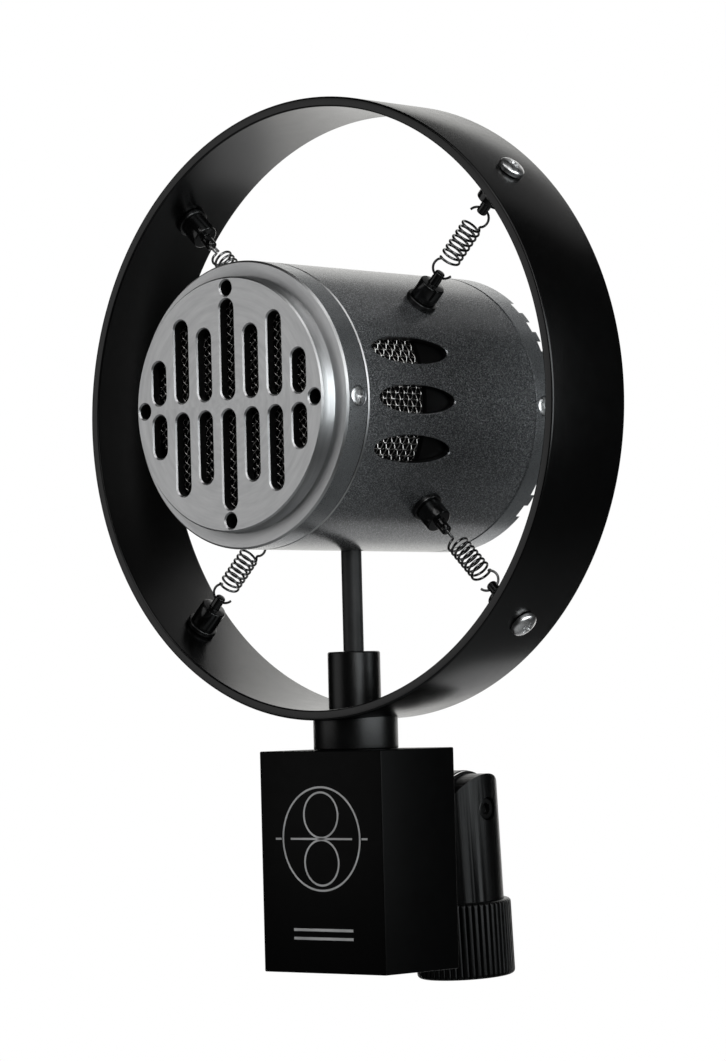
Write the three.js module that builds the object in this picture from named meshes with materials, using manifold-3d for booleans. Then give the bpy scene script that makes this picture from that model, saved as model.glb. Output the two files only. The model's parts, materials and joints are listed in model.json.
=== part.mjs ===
// A studio ribbon microphone: a drum-shaped capsule hung on four springs inside a flat ring, with the
// ring on a block that turns about the pivot of a swivel stand adaptor.
// Lengths are millimetres and +Z is up. The microphone's front face looks along -Y, and the origin is
// the middle of the adaptor's lower end, where a stand's thread enters.
import * as THREE from 'three';
import { mergeVertices } from 'three/addons/utils/BufferGeometryUtils.js';
import Module from 'manifold-3d';

const wasm = await Module();
wasm.setup();

// ---- driving dimensions ----

const GAP = 0.3;                    // clearance kept between neighbouring pieces
const DRUM_SEGMENTS = 48;
const RING_SEGMENTS = 64;

const RING_OUTER = 80;              // ring, outside radius
const RING_WALL = 2.6;
const RING_WIDTH = 28.5;            // along Y
const RING_INNER = RING_OUTER - RING_WALL;
const RING_EDGE = 0.5;              // broken edge

const DRUM_RADIUS = 36.4;           // barrel and caps, outside
const BARREL_INNER = 34.7;
const SPIGOT_RADIUS = 34.4;         // the part of each cap that enters the barrel
const CAP_BORE = 31.6;
const FRONT_FACE_Y = -44.9;
const FRONT_FLANGE_Y = -40.3;
const FRONT_SEAM_Y = -32.7;
const BACK_SEAM_Y = 32.9;
const BACK_FACE_Y = 41.0;
const SPIGOT_LENGTH = 4.3;
const FACE_RADIUS = 32.1;           // raised disc on the front cap
const FACE_PLATE = 2.6;
const FACE_RECESS_RADIUS = 30.6;    // hollow behind the face
const BACK_RECESS_RADIUS = 28.4;    // hollow under the back's grooves
const CAP_SCREW_HOLE_RADIUS = 1.3;
const COUNTERSINK_RADIUS = 2.75;
const MESH_THICKNESS = 0.7;
const FRONT_MESH_RADIUS = 27.3;
const FRONT_MESH_Y = -41.9;
const BACK_MESH_RADIUS = 28.1;
const BACK_MESH_Y = 38.1;

const SLOT_WIDTH = 4.7;             // sound slots in the face
const SLOT_PITCH = 8.03;
const SLOT_ROW_GAP = 2.6;           // between the upper and the lower row
const SLOT_LENGTHS = [11.1, 21.0, 18.3, 25.2, 18.3, 21.0, 11.1];
const FACE_HOLE_RADIUS = 1.93;
const FACE_HOLE_CIRCLE = 29.3;

const VENT_LENGTH = 28.8;           // long openings in each side of the barrel
const VENT_WIDTH = 7.4;
const VENT_CENTRE_Y = -14;
const VENT_ANGLES = [-20.2, 0, 20.2];

const GROOVE_COUNT = 11;            // level grooves across the back cap
const GROOVE_WIDTH = 2.7;
const GROOVE_PITCH = 5.33;
const GROOVE_DEPTH = 1.9;

const SPRING_ANGLES = { upper_right: 45, upper_left: 135, lower_left: 225, lower_right: 315 };
const STUD_RADIUS = 3.5;
const WASHER_RADIUS = 4.2;
const PIN_RADIUS = 1.4;
const PIN_EYE_RADIUS = 0.8;         // cross hole that takes the spring's hook
const SHANK_RADIUS = 1.5;
const SHANK_HOLE_RADIUS = 1.8;
const DRUM_STUD_END = 42.9;         // distances from the ring's middle
const DRUM_PIN_END = 46.7;
const DRUM_EYE = 45.5;
const RING_STUD_END = 69.9;
const RING_PIN_END = 66.1;
const RING_EYE = 67.3;
const WIRE_RADIUS = 0.33;
const COIL_RADIUS = 2.6;
const COIL_START = 50.8;
const COIL_END = 62.2;
const COIL_WHOLE_TURNS = 7;         // and a part turn that brings the wire round to its ring hook
const COIL_STEPS_PER_TURN = 6;
const HOOK_RADIUS = 2.75;
const HOOK_SEAT = 0.25;             // the hook sits this far below the eye's middle
const HOOK_OPEN_END = -75;          // degrees round the hook from the middle of the eye
const HOOK_COIL_END = 140;
const HOOK_STEPS = 7;
const HOOK_TO_COIL = 0.5;           // radians the wire turns between a hook and the coil
// Degrees that the drum hook and the ring hook are turned about each spring, from Y.
const HOOK_TURNS = {
  upper_right: [124, -56],
  upper_left: [-56, 200],
  lower_left: [55, 236],
  lower_right: [149, 59],
};

const LEAD_RADIUS = 2.65;           // sleeved lead from the drum down to the boss
const BOSS_RADIUS = 6.8;
const BOSS_TOP_Z = -62.45;
const NECK_RADIUS = 10.95;

const BLOCK_WIDTH = 41.9;           // along X
const BLOCK_DEPTH = 28.5;           // along Y
const BLOCK_TOP_Z = -87.7;
const BLOCK_HEIGHT = 56.8;
const BLOCK_BASE_Z = BLOCK_TOP_Z - BLOCK_HEIGHT;
const BLOCK_WALL = 2.4;
const SOCKET_RADIUS = 9.2;          // three-pin output socket in the base
const CONTACT_CIRCLE = 3.55;

const PIVOT_BEHIND_RING = 38.95;
const PIVOT_BELOW_RING = 104.5;
const PIVOT_HEIGHT = 44.2;          // above the adaptor's lower end
const POST_LEAN = 3.35;             // degrees between the post and the ring's upright
const POST_RADIUS = 11.2;
const FORK_ROUND = 10.3;            // round top of the fork's two arms
const FORK_ROUND_DROP = 1;          // its middle is this far below the pivot
const TONGUE_ROUND = 10.2;
const TONGUE_HALF = 3.2;
const SLOT_HALF = 4.4;
const PIVOT_BOLT_RADIUS = 2.3;
const PIVOT_BORE = PIVOT_BOLT_RADIUS + GAP;
const BOLT_HEAD_RADIUS = 2.8;
const BOLT_HEAD_X = 7.9;            // underside of the head, along the pivot
const BOLT_END_X = 8.9;             // the shank's end on the other side
const FRICTION_WASHER_RADIUS = 10;
const COLLAR_RADIUS = 13;
const COLLAR_HEIGHT = 20;
const COLLAR_RIBS = 48;
const RIB_DEPTH = 0.75;
const SPIGOT_FLANGE_RADIUS = 10.1;  // held under the collar's lip
const SPIGOT_NECK_RADIUS = 8.7;
const THREAD_BORE = 7.5;            // minor radius of the stand thread

// ---- materials ----

function material(color, roughness, metalness) {
  return new THREE.MeshStandardMaterial({ color, roughness, metalness });
}

const blackPaint = material(0x121313, 0.5, 0.3);
const satinBlack = material(0x1a1b1c, 0.38, 0.5);
const barrelPaint = material(0x5c5c5b, 0.42, 0.7);
const brushedAluminium = material(0xb9babb, 0.3, 1.0);
const polishedSteel = material(0xd6d7d8, 0.15, 1.0);
const washerSteel = material(0x77797a, 0.35, 0.9);
const springSteel = material(0x8a8b8c, 0.25, 1.0);
const meshSteel = material(0x4a4b4c, 0.5, 0.8);
const leadSleeve = material(0x353534, 0.75, 0.0);
const magnetGrey = material(0x6d6e70, 0.4, 0.8);
const insulator = material(0x1c1d20, 0.6, 0.0);
const goldPlate = material(0xc9a24a, 0.25, 1.0);
const foil = material(0xdddddd, 0.3, 1.0);

// ---- shapes: every function returns a closed BufferGeometry ----

const radians = THREE.MathUtils.degToRad;
const AXIS_TURN = {
  x: new THREE.Matrix4().makeRotationZ(-Math.PI / 2),
  y: new THREE.Matrix4(),
  z: new THREE.Matrix4().makeRotationX(Math.PI / 2),
};

// A profile of [radius, height] corners turned about an axis. It starts and ends on the axis, or the
// last corner is joined to the first.
function turned(profile, segments, axis = 'z') {
  const corners = profile.map(([radius, height]) => new THREE.Vector2(radius, height));
  const closesOnAxis = profile[0][0] === 0 && profile.at(-1)[0] === 0;
  if (!closesOnAxis) corners.push(corners[0].clone());
  return new THREE.LatheGeometry(corners, segments).applyMatrix4(AXIS_TURN[axis]);
}

function rod(radius, from, to, axis = 'z', segments = 20) {
  return turned([[0, from], [radius, from], [radius, to], [0, to]], segments, axis);
}

function tube(outer, inner, from, to, axis = 'z', segments = 32) {
  return turned([[inner, from], [outer, from], [outer, to], [inner, to]], segments, axis);
}

function box([x0, x1], [y0, y1], [z0, z1]) {
  const middle = [(x0 + x1) / 2, (y0 + y1) / 2, (z0 + z1) / 2];
  return new THREE.BoxGeometry(x1 - x0, y1 - y0, z1 - z0).translate(...middle);
}

// An outline drawn in XY and extruded from one height to another.
function prism(shape, from, to, curveSegments = 8) {
  const options = { depth: to - from, bevelEnabled: false, curveSegments };
  return new THREE.ExtrudeGeometry(shape, options).translate(0, 0, from);
}

function roundedRectangle(halfWidth, halfHeight, radius) {
  const shape = new THREE.Shape();
  shape.absarc(halfWidth - radius, halfHeight - radius, radius, 0, Math.PI / 2);
  shape.absarc(radius - halfWidth, halfHeight - radius, radius, Math.PI / 2, Math.PI);
  shape.absarc(radius - halfWidth, radius - halfHeight, radius, Math.PI, 1.5 * Math.PI);
  shape.absarc(halfWidth - radius, radius - halfHeight, radius, 1.5 * Math.PI, 2 * Math.PI);
  return shape;
}

// ---- booleans ----

// The solid of a closed geometry, with its faces turned outwards.
function solid(geometry) {
  const bare = geometry.clone();
  bare.deleteAttribute('normal');
  bare.deleteAttribute('uv');
  const merged = mergeVertices(bare, 1e-4);
  const triangles = [];
  for (let i = 0; i < merged.index.count; i += 3) {
    const [a, b, c] = [0, 1, 2].map((k) => merged.index.getX(i + k));
    if (a !== b && b !== c && c !== a) triangles.push([a, b, c]);
  }
  const outwards = signedVolume(merged.attributes.position, triangles) > 0;
  const ordered = outwards ? triangles : triangles.map(([a, b, c]) => [a, c, b]);
  return new wasm.Manifold(new wasm.Mesh({
    numProp: 3,
    vertProperties: new Float32Array(merged.attributes.position.array),
    triVerts: new Uint32Array(ordered.flat()),
  }));
}

function signedVolume(position, triangles) {
  const [p, q, r] = [new THREE.Vector3(), new THREE.Vector3(), new THREE.Vector3()];
  let sum = 0;
  for (const [a, b, c] of triangles) {
    p.fromBufferAttribute(position, a);
    q.fromBufferAttribute(position, b);
    r.fromBufferAttribute(position, c);
    sum += p.dot(q.cross(r)) / 6;
  }
  return sum;
}

function join(...geometries) {
  return geometries.map(solid).reduce((whole, next) => whole.add(next));
}

function cut(body, ...tools) {
  return tools.map(solid).reduce((rest, tool) => rest.subtract(tool), body);
}

function geometryOf(body) {
  const mesh = body.getMesh();
  const geometry = new THREE.BufferGeometry();
  geometry.setAttribute('position', new THREE.BufferAttribute(mesh.vertProperties, 3));
  geometry.setIndex(new THREE.BufferAttribute(mesh.triVerts, 1));
  geometry.computeVertexNormals();
  return geometry;
}

function addPiece(parent, name, body, look) {
  const mesh = new THREE.Mesh(geometryOf(body), look);
  mesh.name = name;
  parent.add(mesh);
  return mesh;
}

// ---- the tree: the stand side leans with the post, the microphone side stands upright ----

const microphone = new THREE.Group();

const standSide = new THREE.Group();
standSide.rotation.x = radians(POST_LEAN);
microphone.add(standSide);

const micSide = new THREE.Group();
const pivot = new THREE.Vector3(0, 0, PIVOT_HEIGHT).applyEuler(standSide.rotation);
micSide.position.copy(pivot).add(new THREE.Vector3(0, -PIVOT_BEHIND_RING, PIVOT_BELOW_RING));
microphone.add(micSide);

// A group whose +Z points out from the ring's middle at an angle from +X towards +Z.
function radialGroup(angle) {
  const group = new THREE.Group();
  group.rotation.y = radians(90 - angle);
  micSide.add(group);
  return group;
}

function towards(geometry, angle) {
  return geometry.applyMatrix4(new THREE.Matrix4().makeRotationY(radians(90 - angle)));
}

// ---- stand adaptor ----

// Even ribs: the outline goes to and fro between the ribs' tops and the grooves between them.
function knurledOutline() {
  const corners = Array.from({ length: 2 * COLLAR_RIBS }, (_, index) => {
    const radius = index % 2 ? COLLAR_RADIUS - RIB_DEPTH : COLLAR_RADIUS;
    const angle = (Math.PI * index) / COLLAR_RIBS;
    return new THREE.Vector2(radius * Math.cos(angle), radius * Math.sin(angle));
  });
  return new THREE.Shape(corners);
}

const SPIGOT_TOP = COLLAR_HEIGHT + GAP;
const LIP_BOTTOM = 17;
const SPIGOT_BOTTOM = 13.4;

function standCollar() {
  const flangeBore = SPIGOT_FLANGE_RADIUS + GAP;
  const neckBore = SPIGOT_NECK_RADIUS + GAP;
  const bore = turned([
    [0, -1], [THREAD_BORE + 1, -1], [THREAD_BORE + 1, 0], [THREAD_BORE, 1],
    [THREAD_BORE, SPIGOT_BOTTOM - GAP], [flangeBore, SPIGOT_BOTTOM - GAP], [flangeBore, LIP_BOTTOM],
    [neckBore, LIP_BOTTOM], [neckBore, COLLAR_HEIGHT + 1], [0, COLLAR_HEIGHT + 1],
  ], 28);
  return cut(solid(prism(knurledOutline(), 0, COLLAR_HEIGHT)), bore);
}

// The round post with its fork, and below it the flanged spigot that the collar turns on.
function swivelPost() {
  const post = rod(POST_RADIUS, SPIGOT_TOP, PIVOT_HEIGHT + POST_RADIUS, 'z', 36);
  const past = POST_RADIUS + 1;
  const roundMiddle = PIVOT_HEIGHT - FORK_ROUND_DROP;
  const roundTop = rod(FORK_ROUND, -past, past, 'x', 40).translate(0, 0, roundMiddle);
  const below = box([-past, past], [-past, past], [SPIGOT_TOP - 1, roundMiddle]);
  const spigot = turned([
    [0, SPIGOT_BOTTOM], [SPIGOT_FLANGE_RADIUS, SPIGOT_BOTTOM], [SPIGOT_FLANGE_RADIUS, LIP_BOTTOM - GAP],
    [SPIGOT_NECK_RADIUS, LIP_BOTTOM - GAP], [SPIGOT_NECK_RADIUS, SPIGOT_TOP + 0.5], [0, SPIGOT_TOP + 0.5],
  ], 28);
  const body = solid(post).intersect(join(roundTop, below)).add(solid(spigot));
  const slotFloor = PIVOT_HEIGHT - TONGUE_ROUND - 0.8;
  return cut(
    body,
    box([-SLOT_HALF, SLOT_HALF], [-past, past], [slotFloor, PIVOT_HEIGHT + past]),
    rod(PIVOT_BORE, -BOLT_END_X - GAP, past, 'x').translate(0, 0, PIVOT_HEIGHT),
    rod(BOLT_HEAD_RADIUS + GAP, BOLT_HEAD_X - GAP, past, 'x').translate(0, 0, PIVOT_HEIGHT),
  );
}

function pivotBolt() {
  const head = rod(BOLT_HEAD_RADIUS, BOLT_HEAD_X, BOLT_HEAD_X + 2.6, 'x');
  const shank = rod(PIVOT_BOLT_RADIUS, -BOLT_END_X, BOLT_HEAD_X + GAP, 'x');
  const hexagon = rod(1.73, BOLT_HEAD_X + 1, BOLT_HEAD_X + 3, 'x', 6);
  return cut(join(head, shank), hexagon);
}

function frictionWasher() {
  return solid(tube(FRICTION_WASHER_RADIUS, PIVOT_BORE, -0.3, 0.3, 'x', 28));
}

addPiece(standSide, 'stand_collar', standCollar(), blackPaint);
addPiece(standSide, 'swivel_post', swivelPost(), blackPaint);
addPiece(standSide, 'pivot_bolt', pivotBolt(), satinBlack).position.z = PIVOT_HEIGHT;
for (const [name, side] of [['friction_washer_right', 1], ['friction_washer_left', -1]]) {
  const washer = addPiece(standSide, name, frictionWasher(), polishedSteel);
  washer.position.set(side * (TONGUE_HALF + SLOT_HALF) / 2, 0, PIVOT_HEIGHT);
}

// ---- bracket between the block and the post ----

const BRACKET_SCREW_X = 6.5;
const BRACKET_SCREW_HOLE_RADIUS = 1.7;
const BRACKET_HALF_WIDTH = 10.2;
const BRACKET_HALF_HEIGHT = 10.5;
const TONGUE_NECK_HALF = 6.2;
const BLOCK_BACK_Y = BLOCK_DEPTH / 2;
const BRACKET_FRONT_Y = BLOCK_BACK_Y + GAP;
const BRACKET_BACK_Y = BRACKET_FRONT_Y + 3;

function bracketScrewHole(side, from, to) {
  return rod(BRACKET_SCREW_HOLE_RADIUS, from, to, 'y', 16).translate(side * BRACKET_SCREW_X, 0, 0);
}

// The tongue is a round eye about the pivot on a narrower neck, so the fork can swing past the neck.
function pivotBracket() {
  const base = prism(
    roundedRectangle(BRACKET_HALF_WIDTH, BRACKET_HALF_HEIGHT, 2), -BRACKET_BACK_Y, -BRACKET_FRONT_Y, 4,
  ).rotateX(Math.PI / 2);
  const neckHeight = [-TONGUE_NECK_HALF, TONGUE_NECK_HALF];
  const neck = box([-TONGUE_HALF, TONGUE_HALF], [BRACKET_BACK_Y - 1, PIVOT_BEHIND_RING], neckHeight);
  const eye = rod(TONGUE_ROUND, -TONGUE_HALF, TONGUE_HALF, 'x', 48).translate(0, PIVOT_BEHIND_RING, 0);
  const screwHoles = [-1, 1].map((side) => bracketScrewHole(side, BRACKET_FRONT_Y - 1, BRACKET_BACK_Y + 1));
  const bore = rod(PIVOT_BORE, -5, 5, 'x').translate(0, PIVOT_BEHIND_RING, 0);
  return cut(join(base, neck, eye), bore, ...screwHoles);
}

// A domed head with a cross recess, its underside at height 0 and its shank below.
function panScrew(headRadius, headHeight, shankRadius, shankLength) {
  const crown = headHeight * 0.55;
  const body = turned([
    [0, -shankLength], [shankRadius, -shankLength], [shankRadius, 0], [headRadius, 0],
    [headRadius, headHeight - crown], [headRadius * 0.72, headHeight - crown * 0.25], [0, headHeight],
  ], 12);
  const arm = headRadius * 0.5;
  const thick = headRadius * 0.13;
  const floor = headHeight * 0.35;
  return cut(
    solid(body),
    box([-arm, arm], [-thick, thick], [floor, headHeight + 1]),
    box([-thick, thick], [-arm, arm], [floor, headHeight + 1]),
  );
}

addPiece(micSide, 'pivot_bracket', pivotBracket(), blackPaint).position.z = -PIVOT_BELOW_RING;
for (const [name, side] of [['bracket_screw_right', 1], ['bracket_screw_left', -1]]) {
  const screw = addPiece(micSide, name, panScrew(2.6, 1.6, 1.4, 6.8), satinBlack);
  screw.rotation.x = -Math.PI / 2;
  screw.position.set(side * BRACKET_SCREW_X, BRACKET_BACK_Y + 0.1, -PIVOT_BELOW_RING);
}

// ---- block ----

const HALF_WIDTH = BLOCK_WIDTH / 2;
const HALF_DEPTH = BLOCK_DEPTH / 2;
const BASE_SCREW_X = 14.6;
const BASE_SCREW_HEAD_RADIUS = 2.1;
const BASE_SCREW_SEAT_Z = BLOCK_BASE_Z + 1.4;
const SCREW_POST_X = 12.4;          // posts for the base screws stand from here out to the block's walls
const SCREW_POST_HALF = 3.5;
const BASE_PLATE_TOP_Z = BLOCK_BASE_Z + 2.6;
const LEAD_HOLE_RADIUS = 3.2;

function blockHousing() {
  const bevel = 0.5;
  const outline = roundedRectangle(HALF_WIDTH - bevel, HALF_DEPTH - bevel, 0.3);
  const shell = new THREE.ExtrudeGeometry(outline, {
    depth: BLOCK_HEIGHT - 2 * bevel,
    bevelThickness: bevel,
    bevelSize: bevel,
    bevelSegments: 1,
    curveSegments: 2,
  }).translate(0, 0, BLOCK_BASE_Z + bevel);
  const insideX = HALF_WIDTH - BLOCK_WALL;
  const insideY = HALF_DEPTH - BLOCK_WALL;
  const hollow = box([-insideX, insideX], [-insideY, insideY], [BLOCK_BASE_Z - 1, BLOCK_TOP_Z - BLOCK_WALL]);
  const posts = [-1, 1].map((side) => box(
    side > 0 ? [SCREW_POST_X, insideX + 1] : [-insideX - 1, -SCREW_POST_X],
    [-SCREW_POST_HALF, SCREW_POST_HALF],
    [BASE_PLATE_TOP_Z + GAP, BASE_PLATE_TOP_Z + 9],
  ));
  const walls = cut(solid(shell), hollow).add(join(...posts));
  const postHoles = [-1, 1].map((side) => rod(1.2, BASE_PLATE_TOP_Z, BASE_PLATE_TOP_Z + 7, 'z', 16)
    .translate(side * BASE_SCREW_X, 0, 0));
  const bracketHoles = [-1, 1].map((side) => bracketScrewHole(side, HALF_DEPTH - BLOCK_WALL - 1, HALF_DEPTH + 1)
    .translate(0, 0, -PIVOT_BELOW_RING));
  const leadHole = rod(LEAD_HOLE_RADIUS, BLOCK_TOP_Z - BLOCK_WALL - 1, BLOCK_TOP_Z + 1);
  return cut(walls, leadHole, ...postHoles, ...bracketHoles);
}

function basePlate() {
  const insideX = HALF_WIDTH - BLOCK_WALL - GAP;
  const insideY = HALF_DEPTH - BLOCK_WALL - GAP;
  const plate = box([-insideX, insideX], [-insideY, insideY], [BLOCK_BASE_Z + 0.4, BASE_PLATE_TOP_Z]);
  const socketHole = rod(SOCKET_RADIUS + GAP, BLOCK_BASE_Z - 1, BASE_PLATE_TOP_Z + 1, 'z', 28);
  const screwHole = turned([
    [0, BLOCK_BASE_Z - 1], [BASE_SCREW_HEAD_RADIUS + GAP, BLOCK_BASE_Z - 1],
    [BASE_SCREW_HEAD_RADIUS + GAP, BASE_SCREW_SEAT_Z], [1.3, BASE_SCREW_SEAT_Z],
    [1.3, BASE_PLATE_TOP_Z + 1], [0, BASE_PLATE_TOP_Z + 1],
  ], 16);
  const screwHoles = [-1, 1].map((side) => screwHole.clone().translate(side * BASE_SCREW_X, 0, 0));
  return cut(solid(plate), socketHole, ...screwHoles);
}

const SOCKET_DEPTH = 14;
const CONTACT_PLACES = [[-CONTACT_CIRCLE, 0], [CONTACT_CIRCLE, 0], [0, CONTACT_CIRCLE]];

// An open cup with an insulating floor that the three contacts pass through.
function outputSocket() {
  const cup = turned([
    [0, SOCKET_DEPTH], [SOCKET_RADIUS - 1, SOCKET_DEPTH], [SOCKET_RADIUS - 1, 0], [SOCKET_RADIUS, 0],
    [SOCKET_RADIUS, SOCKET_DEPTH + 3], [0, SOCKET_DEPTH + 3],
  ], 28);
  const holes = CONTACT_PLACES.map(([x, y]) => rod(1.5, SOCKET_DEPTH - 1, SOCKET_DEPTH + 4, 'z', 12)
    .translate(x, y, 0));
  return cut(solid(cup), ...holes);
}

function socketContact() {
  const length = 19;
  return solid(turned([[0, 0], [0.7, 0], [1.2, 0.6], [1.2, length], [0, length]], 12));
}

function outputTransformer() {
  const core = box([-11, 11], [-8.5, 8.5], [-9, 9]);
  const winding = box([-7, 7], [-10.5, 10.5], [-6.5, 6.5]);
  return join(core, winding);
}

addPiece(micSide, 'block_housing', blockHousing(), blackPaint);
addPiece(micSide, 'base_plate', basePlate(), blackPaint);
for (const [name, side] of [['base_screw_right', 1], ['base_screw_left', -1]]) {
  const screw = addPiece(micSide, name, panScrew(BASE_SCREW_HEAD_RADIUS, 1.2, 1.0, 7.5), satinBlack);
  screw.rotation.x = Math.PI;
  screw.position.set(side * BASE_SCREW_X, 0, BASE_SCREW_SEAT_Z - 0.1);
}
addPiece(micSide, 'output_socket', outputSocket(), insulator).position.z = BLOCK_BASE_Z + 0.6;
CONTACT_PLACES.forEach(([x, y], index) => {
  const contact = addPiece(micSide, `socket_contact_${index + 1}`, socketContact(), goldPlate);
  contact.position.set(x, y, BLOCK_BASE_Z + 3);
});
addPiece(micSide, 'output_transformer', outputTransformer(), magnetGrey).position.z = BLOCK_TOP_Z - 16;

// ---- ring, neck and boss ----

function ringScrewHole(angle) {
  return towards(rod(SHANK_HOLE_RADIUS, RING_INNER - 3, RING_OUTER + 3, 'z', 12), angle);
}

function suspensionRing() {
  const half = RING_WIDTH / 2;
  const band = turned([
    [RING_INNER, RING_EDGE - half], [RING_INNER + RING_EDGE, -half],
    [RING_OUTER - RING_EDGE, -half], [RING_OUTER, RING_EDGE - half],
    [RING_OUTER, half - RING_EDGE], [RING_OUTER - RING_EDGE, half],
    [RING_INNER + RING_EDGE, half], [RING_INNER, half - RING_EDGE],
  ], RING_SEGMENTS, 'y');
  const leadHole = rod(LEAD_HOLE_RADIUS, -RING_OUTER - 3, -RING_INNER + 3);
  return cut(solid(band), leadHole, ...Object.values(SPRING_ANGLES).map(ringScrewHole));
}

// The neck and the boss are saddled to the ring's two faces.
function neckCollar() {
  const body = tube(NECK_RADIUS, LEAD_HOLE_RADIUS, BLOCK_TOP_Z + 0.15, -RING_OUTER + 3);
  return cut(solid(body), rod(RING_OUTER + 0.2, -20, 20, 'y', 120));
}

function ringBoss() {
  const body = turned([
    [LEAD_HOLE_RADIUS, -RING_INNER - 1], [BOSS_RADIUS, -RING_INNER - 1], [BOSS_RADIUS, BOSS_TOP_Z - 0.4],
    [BOSS_RADIUS - 0.4, BOSS_TOP_Z], [LEAD_HOLE_RADIUS, BOSS_TOP_Z],
  ], 28);
  const inside = rod(RING_INNER - 0.15, -20, 20, 'y', 120);
  return solid(body).intersect(solid(inside));
}

addPiece(micSide, 'suspension_ring', suspensionRing(), satinBlack);
addPiece(micSide, 'neck_collar', neckCollar(), blackPaint);
addPiece(micSide, 'ring_boss', ringBoss(), satinBlack);

// ---- studs, washers, screws and springs, one set on each diagonal ----

function stud(base, shoulder, end, shankEnd, eye, eyeTurn) {
  const profile = [[0, shankEnd], [SHANK_RADIUS, shankEnd], [SHANK_RADIUS, base], [STUD_RADIUS, base]];
  profile.push([STUD_RADIUS, shoulder], [PIN_RADIUS, shoulder], [PIN_RADIUS, end], [0, end]);
  const eyeHole = rod(PIN_EYE_RADIUS, -3, 3, 'y', 8).rotateZ(eyeTurn).translate(0, 0, eye);
  return cut(solid(turned(profile, 12)), eyeHole);
}

function washer(from, to) {
  return solid(tube(WASHER_RADIUS, SHANK_HOLE_RADIUS, from, to, 'z', 16));
}

// Points on a hook's circle, from the coil's end to the open end, or the other way round. The circle stands
// on the spring's axis. Facing is 1 where the hook opens inwards, at the drum, and -1 at the ring.
function hookPoints(eye, facing, turn, from, to) {
  const middle = eye + facing * (HOOK_RADIUS - HOOK_SEAT);
  return Array.from({ length: HOOK_STEPS }, (_, index) => {
    const angle = radians(from + ((to - from) * index) / (HOOK_STEPS - 1));
    const out = HOOK_RADIUS * Math.sin(angle);
    const height = middle - facing * HOOK_RADIUS * Math.cos(angle);
    return new THREE.Vector3(-out * Math.sin(turn), out * Math.cos(turn), height);
  });
}

// The wire: an open hook through the drum pin's eye, the coil, and an open hook through the ring pin's eye.
function springPath(drumTurn, ringTurn) {
  const start = Math.PI / 2 + drumTurn + HOOK_TO_COIL;
  const end = Math.PI / 2 + ringTurn - HOOK_TO_COIL;
  const partTurn = THREE.MathUtils.euclideanModulo(end - start, 2 * Math.PI);
  const sweep = COIL_WHOLE_TURNS * 2 * Math.PI + partTurn;
  const coilSteps = Math.round((sweep / (2 * Math.PI)) * COIL_STEPS_PER_TURN);
  const coil = Array.from({ length: coilSteps + 1 }, (_, index) => {
    const share = index / coilSteps;
    const angle = start + share * sweep;
    const height = COIL_START + share * (COIL_END - COIL_START);
    return new THREE.Vector3(COIL_RADIUS * Math.cos(angle), COIL_RADIUS * Math.sin(angle), height);
  });
  return [
    ...hookPoints(DRUM_EYE, 1, drumTurn, HOOK_OPEN_END, HOOK_COIL_END),
    ...coil,
    ...hookPoints(RING_EYE, -1, ringTurn, HOOK_COIL_END, HOOK_OPEN_END),
  ];
}

function suspensionSpring(drumTurn, ringTurn) {
  const path = new THREE.CatmullRomCurve3(springPath(drumTurn, ringTurn));
  const wire = new THREE.Shape().absarc(0, 0, WIRE_RADIUS, 0, 2 * Math.PI);
  const steps = path.points.length - 1;
  const options = { steps, extrudePath: path, curveSegments: 2, bevelEnabled: false };
  return solid(new THREE.ExtrudeGeometry(wire, options));
}

for (const [place, angle] of Object.entries(SPRING_ANGLES)) {
  const spoke = radialGroup(angle);
  const [drumTurn, ringTurn] = HOOK_TURNS[place].map(radians);
  const ringStud = stud(RING_INNER - 1.6, RING_STUD_END, RING_PIN_END, RING_INNER + 0.9, RING_EYE, ringTurn);
  const drumBase = DRUM_RADIUS + 1.6;
  const drumStud = stud(drumBase, DRUM_STUD_END, DRUM_PIN_END, DRUM_RADIUS - 1.2, DRUM_EYE, drumTurn);
  const ringScrew = addPiece(spoke, `ring_screw_${place}`, panScrew(3.5, 2.2, 1.0, 1.1), polishedSteel);
  ringScrew.position.z = RING_OUTER + 0.2;
  addPiece(spoke, `ring_washer_${place}`, washer(RING_INNER - 1.4, RING_INNER - 0.35), washerSteel);
  addPiece(spoke, `ring_stud_${place}`, ringStud, satinBlack);
  addPiece(spoke, `drum_washer_${place}`, washer(DRUM_RADIUS + 0.3, DRUM_RADIUS + 1.4), washerSteel);
  addPiece(spoke, `drum_stud_${place}`, drumStud, satinBlack);
  addPiece(spoke, `suspension_spring_${place}`, suspensionSpring(drumTurn, ringTurn), springSteel);
}

// ---- capsule ----

const CAP_SCREW_ANGLES = { right: 0, left: 180 };
const FRONT_SCREW_Y = -36.3;
const BACK_SCREW_Y = 36.4;

function capScrewHole(angle, y) {
  const hole = turned([
    [0, 29], [CAP_SCREW_HOLE_RADIUS, 29], [CAP_SCREW_HOLE_RADIUS, DRUM_RADIUS - 2],
    [COUNTERSINK_RADIUS, DRUM_RADIUS - 0.55], [COUNTERSINK_RADIUS, DRUM_RADIUS + 2], [0, DRUM_RADIUS + 2],
  ], 16);
  return towards(hole, angle).translate(0, y, 0);
}

function capScrew() {
  const top = DRUM_RADIUS - 0.25;
  const body = turned([
    [0, 31.9], [1.1, 31.9], [1.1, DRUM_RADIUS - 1.75], [2.4, top - 0.2], [2.4, top], [0, top],
  ], 14);
  return cut(
    solid(body),
    box([-1.3, 1.3], [-0.3, 0.3], [top - 0.9, top + 1]),
    box([-0.3, 0.3], [-1.3, 1.3], [top - 0.9, top + 1]),
  );
}

// A capsule outline drawn upright in XZ and cut through along Y.
function uprightSlot(x, z, width, length, from, to) {
  const slot = roundedRectangle(width / 2, length / 2, width / 2 - 0.001);
  return prism(slot, -to, -from, 1).rotateX(Math.PI / 2).translate(x, 0, z);
}

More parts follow.
